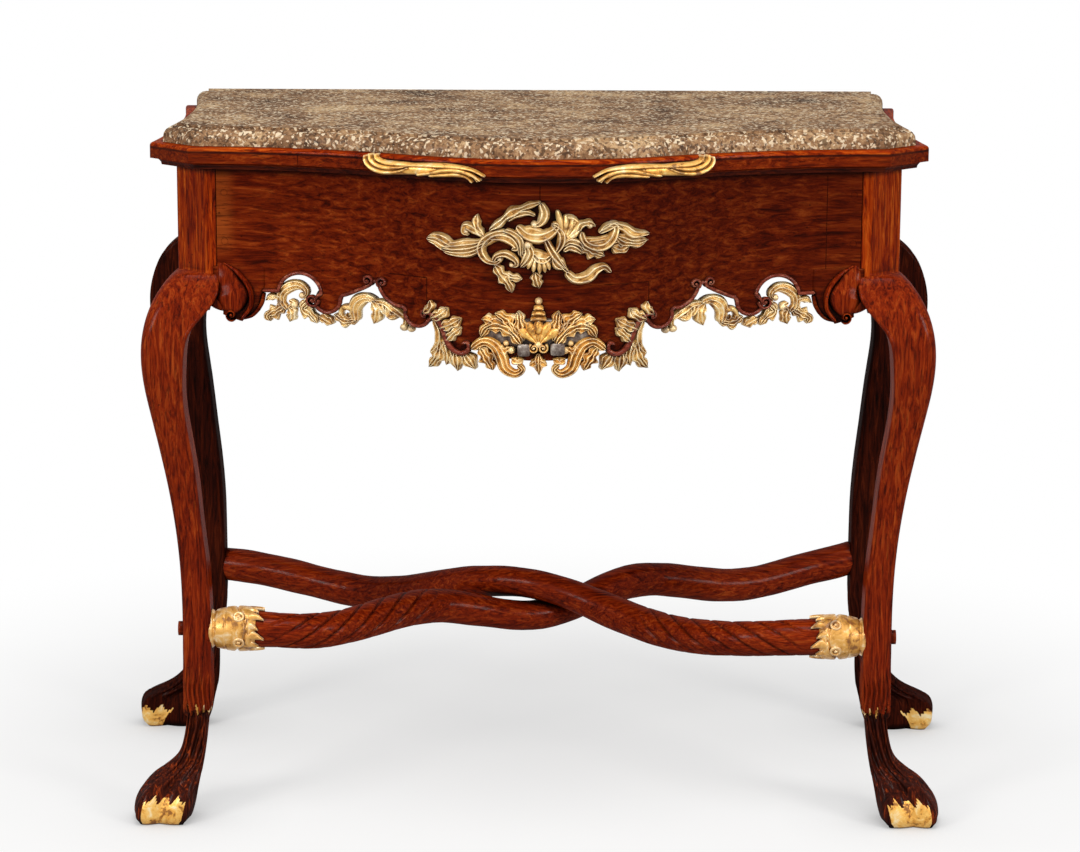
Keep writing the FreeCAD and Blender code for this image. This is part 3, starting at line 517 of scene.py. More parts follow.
def front_place(across, up, out, inset=BOARD_INSET):
    """Point on the serpentine front, a distance out from the face that lies in by an inset."""
    corner, level = FRONT_CORNER
    turn = 2 * math.atan2(FRONT_BOW, corner)
    total = corner / math.sin(turn)
    hollow = HOLLOW_SHARE * total
    crown = total - hollow
    side = math.copysign(1.0, across)
    if abs(across) > corner - (hollow + inset) * math.sin(turn):
        reach = hollow + inset
        slope = (corner - abs(across)) / reach
        depth = level - hollow + reach * math.sqrt(1 - slope * slope)
    else:
        reach = crown - inset
        slope = abs(across) / reach
        depth = level - FRONT_BOW + crown - reach * math.sqrt(1 - slope * slope)
    facing = Vector((side * slope, -math.sqrt(1 - slope * slope), 0.0))
    return Vector((across, depth, up)) + facing * out


def smooth_path(points, count):
    """Even steps along a soft curve through flat points."""
    ends = [2 * points[0] - points[1], *points, 2 * points[-1] - points[-2]]
    fine = []
    for at in range(1, len(ends) - 2):
        before, here, after, later = ends[at - 1 : at + 3]
        for step in range(CURVE_STEPS):
            t = step / CURVE_STEPS
            bend = 2 * before - 5 * here + 4 * after - later
            twist = 3 * here - before - 3 * after + later
            fine.append(here + 0.5 * t * (after - before + t * (bend + t * twist)))
    fine.append(points[-1])
    return even_steps(fine, count)


def even_steps(points, count):
    """The same line with points at even distances."""
    reach = [0.0]
    for first, second in zip(points, points[1:]):
        reach.append(reach[-1] + (second - first).length)
    even, at = [], 0
    for step in range(count + 1):
        goal = reach[-1] * step / count
        while at < len(points) - 2 and reach[at + 1] < goal:
            at += 1
        share = (goal - reach[at]) / max(reach[at + 1] - reach[at], 1e-9)
        even.append(points[at].lerp(points[at + 1], min(share, 1.0)))
    return even


def directions(path):
    """Unit direction of a line at each of its points."""
    ahead = path[1:] + path[-1:]
    behind = path[:1] + path[:-1]
    return [(b - a).normalized() for a, b in zip(behind, ahead)]


def swept(clay, path, radius_at, sides):
    """Round bar along a line; the radius depends on the spot and on the angle."""
    rows = []
    for spot, way in zip(path, directions(path)):
        level = way.cross(Vector((0, 0, 1))).normalized()
        up = level.cross(way)
        row = []
        for place in range(sides):
            angle = math.tau * place / sides
            row.append(spot + radius_at(spot, angle) * (level * math.cos(angle) + up * math.sin(angle)))
        rows.append(row)
    clay.rows(rows)


def smooth_space(points, count):
    """Even steps along a line in space whose points are first evened out."""
    soft = list(points)
    for repeat in range(3):
        inner = [(a + 2 * b + c) / 4 for a, b, c in zip(soft, soft[1:], soft[2:])]
        soft = soft[:1] + inner + soft[-1:]
    return even_steps(soft, count)


def between(values, share):
    """Value at a share of the way along a short list."""
    place = share * (len(values) - 1)
    low = min(int(place), len(values) - 2)
    rest = place - low
    return values[low] + (values[low + 1] - values[low]) * rest * rest * (3 - 2 * rest)


def volute(middle, radius, start, turns):
    """Points of a spiral that winds in from a start angle; minus turns wind the other way."""
    count = max(8, int(abs(turns) * VOLUTE_POINTS))
    points = []
    for step in range(count + 1):
        share = step / count
        reach = radius * (1 - (1 - VOLUTE_INNER) * share)
        angle = math.radians(start) + math.tau * turns * share
        points.append((middle[0] + reach * math.cos(angle), middle[1] + reach * math.sin(angle)))
    return points


def round_end(away, width):
    """Share of a strip's width at a distance from its rounded end."""
    share = min(away / (0.5 * width), 1.0)
    return max(math.sqrt(1 - (1 - share) ** 2), END_SHARE)


class Carver:
    """Relief carving on the serpentine front. Places are millimetres across and up."""

    def __init__(self, inset=BOARD_INSET, mirror=1):
        self.clay = Clay()
        self.inset = inset
        self.mirror = mirror

    def place(self, flat, out):
        return front_place(self.mirror * flat.x * MM, flat.y * MM, out * MM, self.inset)

    def stroke(
        self,
        points,
        width,
        height,
        flutes=0,
        lobes=0,
        taper=(0.5, 1.0, 0.3),
        base=0.0,
        thick=4.0,
        rise=(1.0, 1.0),
        soft_ends=True,
    ):
        """Leaf, strap or stem along a curve: a raised strip with flutes, and lobed edges."""
        flat = [Vector(p) for p in points]
        long = sum((b - a).length for a, b in zip(flat, flat[1:]))
        path = smooth_path(flat, max(14, int(long / STROKE_STEP)))
        columns = STROKE_COLUMNS + FLUTE_COLUMNS * flutes
        rows = []
        for step, (spot, ahead) in enumerate(zip(path, directions(path))):
            share = step / (len(path) - 1)
            slim = between(taper, share)
            half = width / 2 * slim
            if soft_ends:
                wide = width * slim
                half *= round_end(share * long, wide) * round_end((1 - share) * long, wide)
            if lobes:
                half *= 1 - LOBE_SHARE * ripple(lobes, share)
            lift = height * (THIN_LIFT + (1 - THIN_LIFT) * slim) * between(rise, share)
            aside = Vector((-ahead.y, ahead.x))
            row = []
            for column in range(columns + 1):
                across = 2 * column / columns - 1
                bulge = math.sqrt(max(0.0, 1 - across * across))
                if flutes:
                    bulge *= 1 - FLUTE_SHARE * ripple(flutes + 1, (across + 1) / 2)
                row.append(self.place(spot + aside * half * across, base + lift * bulge))
            for across in (BACK_SHARE, 0.0, -BACK_SHARE):
                row.append(self.place(spot + aside * half * across, base - thick))
            rows.append(row)
        self.clay.rows(rows)

    def knob(self, spot, radius, height, base=0.0):
        """Rounded berry or scroll eye."""
        flat = Vector(spot)
        middle = self.place(flat, base)
        across = self.place(flat + Vector((radius, 0.0)), base) - middle
        up = Vector((0.0, 0.0, radius * MM))
        out = self.place(flat, base + height) - middle
        self.clay.ball(middle, across, up, out)

    def plate(self, spot, wide, high, height):
        """Flat raised patch with rounded corners."""
        rows = []
        for out, share in ((PLATE_BACK, 1.0), (0.8 * height, 1.0), (height, 0.9)):
            row = []
            for place in range(PLATE_POINTS):
                turn = math.tau * place / PLATE_POINTS
                turned = (math.cos(turn), math.sin(turn))
                x, z = (math.copysign(abs(part) ** PLATE_SQUARE, part) for part in turned)
                row.append(self.place(Vector(spot) + share / 2 * Vector((wide * x, high * z)), out))
            rows.append(row)
        self.clay.rows(rows)

    def scroll(self, middle, radius, start, turns, width, height, base=0.0):
        """Volute with its eye."""
        points = volute(middle, radius, start, turns)
        self.stroke(points, width, height, taper=SCROLL_TAPER, base=base)
        self.knob(middle, radius * EYE_WIDTH, height * EYE_HEIGHT, base)


def wave(turns, share):
    """Zigzag between 0 and 1."""
    return abs(2 * ((turns * share) % 1.0) - 1)


def ripple(turns, share):
    """Soft wave between 0 and 1, with its crests at whole turns."""
    return 0.5 + 0.5 * math.cos(math.tau * turns * share)


def fade(value, low, high):
    """Soft step from 0 at low to 1 at high."""
    share = min(max((value - low) / (high - low), 0.0), 1.0)
    return share * share * (3 - 2 * share)


def bell(value, middle, width):
    """Bell curve that is 1 in its middle."""
    return math.exp(-(((value - middle) / width) ** 2))


# Carving, in millimetres across and above the floor: points, width, height, flutes, lobes.
# The left half of the apron's leafwork, from the knee to the middle.
LEAF_CURL = [
    *((-290, 615), (-296, 622), (-295, 634), (-286, 642)),
    *((-276, 644), (-268, 639), (-268, 633), (-273, 632)),
]
OUTER_LEAF_STROKES = [
    (LEAF_CURL, 9, 6, 2, 0),
    ([(-287, 626), (-281, 621), (-290, 615)], 6, 5, 1, 0),
    ([(-314, 625), (-308, 629), (-299, 628), (-295, 618)], 7, 5, 1, 2),
    ([(-292, 619), (-303, 612), (-311, 607), (-308, 601)], 13, 6, 3, 3),
    ([(-287, 618), (-284, 611), (-286, 601)], 12, 6, 2, 2),
    ([(-263, 626), (-270, 617), (-262, 611), (-254, 601)], 13, 6, 3, 3),
    ([(-252, 610), (-244, 606), (-236, 601)], 12, 6, 2, 2),
    ([(-262, 630), (-268, 624), (-276, 618)], 8, 5, 1, 2),
]
OUTER_LEAF_KNOBS = [((-272, 632), 4, 6), ((-281, 621), 4.5, 7)]
INNER_LEAF_STROKES = [
    ([(-234, 613), (-222, 606), (-208, 608)], 12, 6, 3, 3),
    ([(-228, 612), (-226, 619), (-220, 622), (-214, 618), (-217, 612)], 5, 5, 0, 0),
    ([(-209, 606), (-211, 620), (-207, 629), (-197, 634), (-186, 631)], 11, 6, 2, 0),
    ([(-187, 631), (-175, 630), (-167, 625), (-159, 620), (-152, 614), (-154, 604)], 7, 6, 1, 0),
    ([(-190, 631), (-185, 620), (-188, 605)], 12, 6, 2, 2),
    ([(-173, 628), (-170, 616), (-159, 617)], 7, 5, 1, 0),
    ([(-181, 630), (-178, 622), (-174, 616)], 8, 5, 1, 2),
]
INNER_LEAF_KNOBS = [((-154, 604), 4.5, 7), ((-146, 603), 4, 6)]
DROP_LEAF_STROKES = [
    ([(-118, 618), (-111, 603), (-112, 590), (-122, 578)], 11, 7, 2, 0),
    ([(-110, 594), (-114, 576), (-124, 562)], 14, 7, 3, 3),
    ([(-106, 594), (-102, 578), (-104, 566)], 12, 7, 2, 2),
    ([(-94, 585), (-93, 572), (-91, 560)], 13, 7, 3, 1),
    ([(-85, 583), (-78, 572), (-71, 563)], 13, 7, 3, 1),
]
RISING_LEAF_STROKES = [
    ([(-128, 624), (-121, 631), (-121, 639)], 9, 6, 1, 2),
    ([(-120, 619), (-109, 624), (-101, 632)], 12, 7, 2, 2),
    ([(-110, 608), (-97, 614), (-86, 621)], 12, 7, 2, 2),
    ([(-103, 594), (-95, 603), (-86, 611)], 10, 6, 2, 2),
]
# Half of the shell in the middle of the apron; the other half is its mirror image
SHELL_CURL = [
    *((-74, 587), (-61, 596), (-49, 592), (-42, 580)),
    *((-37, 566), (-26, 560), (-18, 565), (-23, 571)),
]
SHELL_STROKES = [
    ([(-19, 594), (-30, 608), (-44, 615), (-57, 612), (-64, 601)], 15, 8, 3, 4),
    ([(-28, 606), (-36, 621), (-48, 629)], 15, 7, 3, 3),
    ([(-44, 613), (-53, 620), (-63, 622)], 12, 6, 2, 2),
    ([(-16, 598), (-20, 615), (-22, 632)], 14, 7, 3, 3),
    (SHELL_CURL, 10, 8, 2, 0),
    ([(-65, 590), (-58, 579), (-50, 564)], 15, 7, 3, 3),
    ([(-46, 588), (-39, 586), (-31, 590)], 9, 6, 1, 3),
    ([(-30, 578), (-24, 574), (-16, 577)], 8, 6, 1, 2),
    ([(0, 576), (-5, 572), (-10, 570)], 7, 5, 1, 0),
]
SHELL_THICK = 6.0
SHELL_KNOB_RISE = 1.6
SHELL_KNOBS = [(-42, 590, 4), (-30, 587, 4.5), (-36, 595, 3.5), (-24, 573, 3)]
SHELL_HUB = (0, 594)
SHELL_RIBS = 5
SHELL_RIB_TURN = math.radians(25)
SHELL_RIB_LENGTH = 28
SHELL_RIB_PLACES = (0.1, 0.5, 0.8, 1.0)
SHELL_RIB_TAPER = (0.25, 0.65, 1.05, 0.9)
SHELL_EYES = ((-5, 590), 5.5, 120, 1.4, 3.5, 9)
SHELL_DROP = [(0, 584), (0, 572), (1, 559)]
# The stem on the shell: widths and levels of its rings, and its bud
STEM_BOW = 1.5
STEM_RINGS = [(11, 636), (15, 630), (18, 624)]
STEM_TAPER = (0.7, 1.0, 0.7)
STEM_BUD = (0, 643)
# The frieze ornament, from its own middle
CARTOUCHE_MIDDLE = (0, 706)
CARTOUCHE_STROKES = [
    ([(-30, 10), (-10, 13), (14, 8)], 12, 4, 2, 0),
    ([(-22, -6), (0, -14), (20, -14)], 12, 4, 3, 0),
    ([(30, -2), (52, 2), (80, 6), (104, 8)], 11, 4, 3, 2),
    ([(20, 20), (34, 24), (46, 20)], 14, 4, 2, 0),
    ([(-60, 0), (-48, 10), (-34, 12)], 8, 4, 1, 0),
    ([(-123, 4), (-112, 3), (-100, -3), (-88, -6)], 12, 7, 3, 0),
    ([(-106, -6), (-90, -6), (-72, -3), (-56, 4)], 14, 9, 4, 0),
    ([(-60, 9), (-66, 15), (-69, 25), (-68, 34)], 9, 6, 1, 2),
    ([(-61, 10), (-70, 15), (-80, 20), (-83, 13), (-77, 11)], 7, 6, 1, 0),
    ([(-36, 15), (-48, 13), (-60, 5), (-64, -6), (-58, -17), (-47, -20), (-40, -14)], 7, 8, 1, 0),
    ([(-54, 8), (-40, 9), (-30, 5), (-24, -3), (-30, -4)], 8, 8, 1, 0),
    ([(-38, 16), (-30, 13), (-22, 6), (-20, -4), (-20, -12)], 8, 8, 2, 0),
    ([(-50, -18), (-46, -12), (-36, -10), (-26, -16), (-24, -22), (-30, -23)], 6, 8, 1, 0),
    ([(-48, -22), (-42, -32), (-34, -42), (-29, -53)], 12, 8, 2, 3),
    ([(-40, -34), (-30, -36), (-18, -38)], 9, 6, 2, 2),
    ([(-54, 17), (-44, 24), (-32, 35), (-16, 43), (2, 49)], 9, 9, 1, 3),
    ([(2, 48), (6, 36), (2, 26), (-6, 22)], 8, 9, 1, 0),
    ([(-34, 28), (-26, 34), (-14, 37), (-4, 34)], 6, 8, 1, 0),
    ([(-24, 22), (-14, 12), (0, 9), (13, 14), (20, 22), (14, 25)], 10, 9, 1, 0),
    ([(14, 24), (24, 15), (25, 4), (20, -6), (15, -9)], 7, 9, 1, 0),
    ([(6, 10), (13, -4), (22, -18), (32, -30)], 7, 9, 1, 0),
    ([(46, 15), (50, 4), (60, -2), (72, -1), (81, 8), (84, 20), (76, 22), (68, 16)], 8, 9, 1, 0),
    ([(44, 16), (46, 23), (54, 25), (62, 22)], 8, 8, 1, 2),
    ([(66, 14), (74, 18), (84, 23), (92, 18)], 6, 8, 1, 0),
    ([(84, 22), (94, 18), (104, 11), (121, 11)], 9, 8, 1, 0),
    ([(84, 10), (96, 4), (108, 2), (120, 4)], 13, 7, 3, 2),
    ([(80, -2), (90, -6), (100, -2)], 10, 6, 2, 2),
    ([(46, 0), (58, -6), (72, -12)], 14, 7, 3, 3),
    ([(26, 0), (34, 5), (44, 2), (49, -5)], 6, 8, 1, 0),
    ([(27, -6), (34, -2), (42, -5), (47, -9)], 6, 8, 1, 0),
    ([(30, -30), (40, -38), (54, -36), (63, -28), (72, -25), (79, -31)], 9, 9, 1, 0),
    ([(-6, -9), (-1, -15), (7, -16), (14, -11)], 7, 9, 1, 0),
    ([(-14, 2), (-10, -8), (-14, -17), (-20, -24)], 9, 8, 2, 0),
    ([(16, -12), (22, -20), (30, -26)], 10, 8, 2, 0),
    ([(-4, -30), (-2, -40), (1, -48)], 11, 7, 2, 2),
]
CARTOUCHE_KNOBS = [
    *((-12, 1, 5), (-80, 14, 3), (-43, -16, 3), (56, 22, 3.5)),
    *((-30, -22, 3), (74, 20, 3), (-5, 24, 4)),
]
CARTOUCHE_RIBS = [(-12, -26), (-6, -30), (1, -31), (7, -30), (12, -27)]
CARTOUCHE_FAN_HUB = (26, 4)
CARTOUCHE_FAN_TIPS = [(20, 40), (29, 35), (37, 30), (45, 26), (44, 17)]
RIB_TAPER = (0.4, 0.8, 0.9, 0.5)
FAN_TAPER = (0.4, 0.8, 1.0, 0.6)
FAN_BOW = 1.5
CARTOUCHE_KNOB_RISE = 2.2
# The left clasp over the moulded frame: its flat strap, and the ridges of its curl and leaf
CLASP_STRAP = [(-188, 797), (-180, 791), (-164, 789), (-140, 790), (-115, 790), (-92, 790), (-74, 787)]
CLASP_THICK = 5.0
CLASP_TAPER = (1.0, 1.05, 1.0, 0.95, 0.95, 1.0, 0.7)
CLASP_STROKES = [
    ([(-192, 803), (-192, 796), (-185, 789), (-172, 785.5), (-155, 787), (-143, 792)], 4.4, 8, 0, 0),
    ([(-187, 805), (-186, 798), (-178, 792.5), (-166, 790.5), (-152, 792), (-140, 795)], 4.2, 8, 0, 0),
    ([(-181, 805), (-179, 799.5), (-171, 796), (-160, 795), (-146, 795.5), (-132, 796)], 3.8, 7, 0, 0),
    ([(-152, 794.5), (-130, 795.5), (-112, 796), (-92, 795.5), (-74, 793), (-59, 786)], 3.8, 8, 0, 0),
    ([(-133, 785), (-118, 788), (-104, 791.5), (-90, 792), (-76, 789), (-64, 781)], 4.4, 8, 0, 0),
    ([(-120, 784.5), (-104, 786.5), (-90, 787.5), (-80, 785), (-73, 779)], 4.0, 7, 0, 0),
    ([(-100, 794), (-84, 791), (-72, 786), (-67, 780)], 3.4, 7, 0, 0),
]
# Wooden scrolls along the apron's edge: the S-shaped moulding, and volutes as middle, radius,
# start angle and turns
S_MOULDING = [
    *((-128, 625), (-116, 622), (-108, 611), (-103, 596), (-96, 585)),
    *((-86, 581), (-78, 586), (-79, 593), (-85, 593)),
]
S_TAPER = (0.7, 1.0, 1.0, 0.9, 0.7)
EDGE_VOLUTES = [
    ((-259, 628), 8, 10, -1.3),
    ((-194, 655), 6, -60, 1.2),
    ((-177, 654), 6, 240, -1.2),
    ((-127, 622), 8, -80, 1.1),
]
# The bead along the edge: its half width, its end beside the shell, and its points
EDGE_BEAD = 2.3
BEAD_END = -88
BEAD_POINTS = 260
# The boards' lower edge, and how far the apron's leaves lie behind their face
BOARD_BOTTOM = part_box("front_frieze")[0].z
LEAFWORK_BACK = -5.0
LEAFWORK_THICK = 7.0
# How much broader and higher the carving is than the measured lines of its ridges
BROAD = 1.6
BOLD = 1.25
RAISED = 1.0
LEAF_TAPER = (0.65, 1.0, 0.45)
STRAIGHT = (1.0, 1.0)
# Ground between the shell's leaves, and two spots where its gilding is lost
SHELL_GROUND = [(-62, 602), (-46, 607), (-24, 606), (0, 606), (24, 606), (46, 607), (62, 602)]
GROUND_TAPER = (0.4, 0.9, 1.0, 1.0, 1.0, 0.9, 0.4)
LOST_SPOTS = [(-16, 588, 14), (21, 589, 16)]
LOST_HIGH = 14
# Joints that show on the front: lines in millimetres
FRIEZE_SEAMS = [
    [(1, 752), (1, 772)],
    [(-169, 665), (-126, 664)],
    [(-126, 664), (-126, 634)],
    [(73, 660), (124, 661)],
    [(124, 661), (124, 634)],
    [(329, 664), (329, 772)],
]
FASCIA_SEAM = [(-272, 787), (-272, 799)]
SEAM_WIDTH = 0.9
SEAM_HEIGHT = 0.25
SEAM_DEPTH = 0.5


def carve(carver, strokes, base=0.0, thick=4.0, shift=(0, 0)):
    """Carves a table of strokes, made broader and higher."""
    for points, width, height, flutes, lobes in strokes:
        moved = [(x + shift[0], z + shift[1]) for x, z in points]
        carver.stroke(moved, BROAD * width, BOLD * height, flutes, lobes, LEAF_TAPER, base, thick)


def leafwork(side, mirror):
    """Pierced leaves under the scrolled edge on one side."""
    for part, strokes, knobs in (
        ("outer", OUTER_LEAF_STROKES, OUTER_LEAF_KNOBS),
        ("inner", INNER_LEAF_STROKES, INNER_LEAF_KNOBS),
        ("drop", DROP_LEAF_STROKES, ()),
    ):
        carver = Carver(mirror=mirror)
        carve(carver, strokes, LEAFWORK_BACK, LEAFWORK_THICK)
        for knob in knobs:
            carver.knob(*knob, LEAFWORK_BACK)
        if part == "drop":
            carve(carver, RISING_LEAF_STROKES)
        node = f"apron_{side}_{part}_leaf"
        carver.clay.piece(node + "_carved", PALE_GILT, [node], slot="giltwood")


def shell():
    """Shell, leaves and drop in the middle of the apron."""
    both = [Carver(mirror=side) for side in (1, -1)]
    for carver in both:
        carve(carver, SHELL_STROKES, thick=SHELL_THICK)
        for x, z, radius in SHELL_KNOBS:
            carver.knob((x, z), radius, radius * SHELL_KNOB_RISE)
        carver.scroll(*SHELL_EYES)
    middle = both[0]
    for rib in range(SHELL_RIBS):
        turn = SHELL_RIB_TURN * (rib - (SHELL_RIBS - 1) / 2)
        aim = Vector((math.sin(turn), math.cos(turn)))
        ends = [Vector(SHELL_HUB) + aim * SHELL_RIB_LENGTH * share for share in SHELL_RIB_PLACES]
        middle.stroke(ends, 12.0, 9, taper=SHELL_RIB_TAPER, base=RAISED)
    middle.knob(SHELL_HUB, 5, 9)
    for width, level in STEM_RINGS:
        ends = level - STEM_BOW
        bow = [(-width / 2, ends), (0, level), (width / 2, ends)]
        middle.stroke(bow, 7, 10, taper=STEM_TAPER)
    middle.knob(STEM_BUD, 4.2, 8)
    middle.stroke(SHELL_DROP, 13, 8, 2, 2, thick=SHELL_THICK)
    joined = middle.clay
    offset = len(joined.points)
    joined.points += both[1].clay.points
    joined.faces += [tuple(place + offset for place in face) for face in both[1].clay.faces]
    joined.piece("apron_shell_carved", GILT, ["apron_shell"], slot="giltwood")


def lost_gilding():
    """Grey ground behind the shell's leaves and the two bare spots beside its hub."""
    carver = Carver()
    carver.stroke(SHELL_GROUND, 34, 2.5, taper=GROUND_TAPER)
    for x, z, size in LOST_SPOTS:
        carver.plate((x, z), size, LOST_HIGH, 9)
    carver.clay.piece("apron_shell_ground", WORN_GROUND, slot="giltwood")


def seams():
    """Dark joint lines on the front board and on the frame's fascia."""
    for name, lines, inset in (
        ("front_frieze_seams", FRIEZE_SEAMS, BOARD_INSET),
        ("frame_front_seam", [FASCIA_SEAM], 0.0),
    ):
        carver = Carver(inset)
        for line in lines:
            carver.stroke(line, SEAM_WIDTH, SEAM_HEIGHT, taper=STRAIGHT, thick=SEAM_DEPTH)
        carver.clay.piece(name, SEAM_WOOD)


def cartouche():
    """Pierced rocaille ornament on the front board."""
    carver = Carver()
    carve(carver, CARTOUCHE_STROKES, RAISED, shift=CARTOUCHE_MIDDLE)
    across, up = CARTOUCHE_MIDDLE
    for x, z, radius in CARTOUCHE_KNOBS:
        carver.knob((x + across, z + up), radius, radius * CARTOUCHE_KNOB_RISE, RAISED)
    for x, z in CARTOUCHE_RIBS:
        line = [(across + 0.4 * x, up - 12), (across + 0.8 * x, up - 20), (across + x, up + z)]
        carver.stroke(line, 7, 9, taper=RIB_TAPER, base=RAISED)
    hub = (across + CARTOUCHE_FAN_HUB[0], up + CARTOUCHE_FAN_HUB[1])
    for x, z in CARTOUCHE_FAN_TIPS:
        tip = (across + x, up + z)
        half_way = ((hub[0] + tip[0]) / 2 + FAN_BOW, (hub[1] + tip[1]) / 2)
        carver.stroke([hub, half_way, tip], 8, 9, taper=FAN_TAPER, base=RAISED)
    carver.clay.piece("frieze_cartouche_carved", PALE_GILT, ["frieze_cartouche"], slot="giltwood")


def clasp(side, mirror):
    """Gilt leaf that lies over the moulded frame."""
    carver = Carver(inset=0.0, mirror=mirror)
    carver.stroke(CLASP_STRAP, 12, 4, taper=CLASP_TAPER, thick=CLASP_THICK)
    carve(carver, CLASP_STROKES, thick=CLASP_THICK)
    carver.clay.piece(f"{side}_clasp_carved", GILT, [f"{side}_clasp"], slot="giltwood")


def scroll_edge():
    """Lower front edge of the apron, read from its solids, as one line from the left to the right."""
    links = {}
    for name in ("apron_left", "apron_centre", "apron_right"):
        shape = solid(name)
        bmesh.ops.remove_doubles(shape, verts=shape.verts, dist=1e-5)
        for edge in shape.edges:
            if len(edge.link_faces) != 2:
                continue
            facing = sorted(face.normal.y for face in edge.link_faces)
            first, second = (vert.co for vert in edge.verts)
            upright = abs(first.x - second.x) < 1e-5 and abs(first.z - second.z) > 0.02
            low = max(first.z, second.z) < BOARD_BOTTOM - 1e-4
            if facing[0] < -0.75 and facing[1] > -0.4 and low and not upright:
                keys = [(round(p.x, 4), round(p.z, 4)) for p in (first, second)]
                links.setdefault(keys[0], []).append(keys[1])
                links.setdefault(keys[1], []).append(keys[0])
        shape.free()
    here = min(links)
    line, seen = [here], {here}
    while True:
        ahead = [key for key in links[here] if key not in seen]
        if not ahead:
            return [Vector(key) / MM for key in line]
        here = ahead[0]
        line.append(here)
        seen.add(here)


def edge_bead(side, mirror, line):
    """Raised bead along the scrolled edge of one side, with its volutes."""
    carver = Carver(mirror=mirror)
    path = even_steps([spot for spot in line if spot.x < BEAD_END], BEAD_POINTS)
    shifted = []
    for spot, ahead in zip(path, directions(path)):
        shifted.append(spot + Vector((-ahead.y, ahead.x)) * EDGE_BEAD * 0.8)
    carver.stroke(shifted[::2], 2 * EDGE_BEAD, EDGE_BEAD * 1.2, taper=STRAIGHT, thick=2.0)
    carver.stroke(S_MOULDING, 7.5, 6, taper=S_TAPER, thick=3.0)
    for middle, radius, start, turns in EDGE_VOLUTES:
        carver.scroll(middle, radius, start, turns, 4.4, 4.5)
    carver.clay.piece(f"apron_{side}_bead", BEAD_WOOD)


edge_line = scroll_edge()
for side_name, side_mirror in (("left", 1), ("right", -1)):
    leafwork(side_name, side_mirror)
    clasp(side_name, side_mirror)
    edge_bead(side_name, side_mirror, edge_line)
shell()
lost_gilding()
seams()
cartouche()


def slices(name, axis, places):
    """Lowest and highest corner of a solid's section at places along an axis."""
    shape = solid(name)
    boxes = []
    normal = Vector([1.0 if name_of == axis else 0.0 for name_of in "XYZ"])
    for place in places:
        parts = shape.verts[:] + shape.edges[:] + shape.faces[:]
        cut = bmesh.ops.bisect_plane(shape, geom=parts, plane_co=normal * place, plane_no=normal)
        spots = [part.co for part in cut["geom_cut"] if isinstance(part, bmesh.types.BMVert)]
        low = Vector([min(spot[k] for spot in spots) for k in range(3)])
        high = Vector([max(spot[k] for spot in spots) for k in range(3)])
        boxes.append((low, high))
    shape.free()
    return boxes


# Legs: levels of the hair on the shank, of its ragged lower edge, of the paw and of its gilding
HAIR_TOP = 0.215
TUFT_RISE = 0.009
PAW_LEVEL = 0.075
PAW_TOP = 0.115
TOE_LEVEL = 0.040
SOLE_LEVEL = 0.009
GILT_LEVEL = 0.036
REAR_GILT_LEVEL = 0.030
GILT_RAGGED = 0.010
LEG_STEP = 0.0035
LEG_SIDES = 132
FLUTES = 15
TUFTS = 13
# How deep the hair, the edge under the tufts, the paw's flutes, the toes and the sole are cut
STRAND_DEPTH = 0.0030
TUFT_DEPTH = 0.0046
FLUTE_DEPTH = 0.0042
TOE_DEPTH = 0.0050
SOLE_DEPTH = 0.004
# Posts have a canted corner and crisp edges; the other corners are round by a share of the thickness
POST_CANT = 0.037
POST_EDGE = 0.0015
FRONT_ROUND, FRONT_PAW_ROUND, OUTER_ROUND = 0.12, 0.14, 0.3
REAR_ROUND, REAR_PAW_ROUND = 0.16, 0.12
ARC_STEPS = 6
BEAD_RADIUS = 0.0026
# Rows just over the floor, under the frame and on both sides of the knee's top
FLOOR_GAP, TOP_GAP, KNEE_GAP = 0.0004, 0.0002, 0.0004
# Gilt chips on the tufts: how near the edge they lie, their grain and how rare they are
CHIP_REACH, CHIP_SCALE, CHIP_FROM = 0.004, 260, 0.3


def rounded(corners):
    """Closed line round corners, given as place and radius, with arcs of few points."""
    line = []
    count = len(corners)
    for at, (spot, radius) in enumerate(corners):
        before = (corners[at - 1][0] - spot).normalized()
        after = (corners[(at + 1) % count][0] - spot).normalized()
        for step in range(ARC_STEPS + 1):
            share = step / ARC_STEPS
            line.append(spot + radius * (before * (1 - share) ** 2 + after * share**2))
    return line + line[:1]


def outline(low, high, level, front_leg):
    """Section of a leg in plan, from the inner rear corner round the outer side and the front."""
    inner, outer, rear, face = high.x, low.x, high.y, low.y
    thick = min(inner - outer, rear - face)
    paw = 1 - fade(level, PAW_LEVEL, TUFT_LEVEL)
    corners = [(inner, rear), (outer, rear), (outer, face), (inner, face)]
    if not front_leg:
        radii = [(REAR_ROUND + REAR_PAW_ROUND * paw) * thick] * 4
    elif level > KNEE_TOP:
        corners[2:3] = [(outer, face + POST_CANT), (outer + POST_CANT, face)]
        radii = [POST_EDGE] * 5
    else:
        soft = (FRONT_ROUND + FRONT_PAW_ROUND * paw) * thick
        radii = [soft, soft, OUTER_ROUND * thick, soft * 0.5]
    return rounded([(Vector(spot), radius) for spot, radius in zip(corners, radii)])


def tuft_edge(share):
    """Level of the ragged lower edge of the hair, round the leg."""
    ragged = wave(TUFTS, share) - 0.5 + 0.7 * noise.noise(Vector((40 * share, 0, 0)))
    return TUFT_LEVEL + TUFT_RISE * ragged


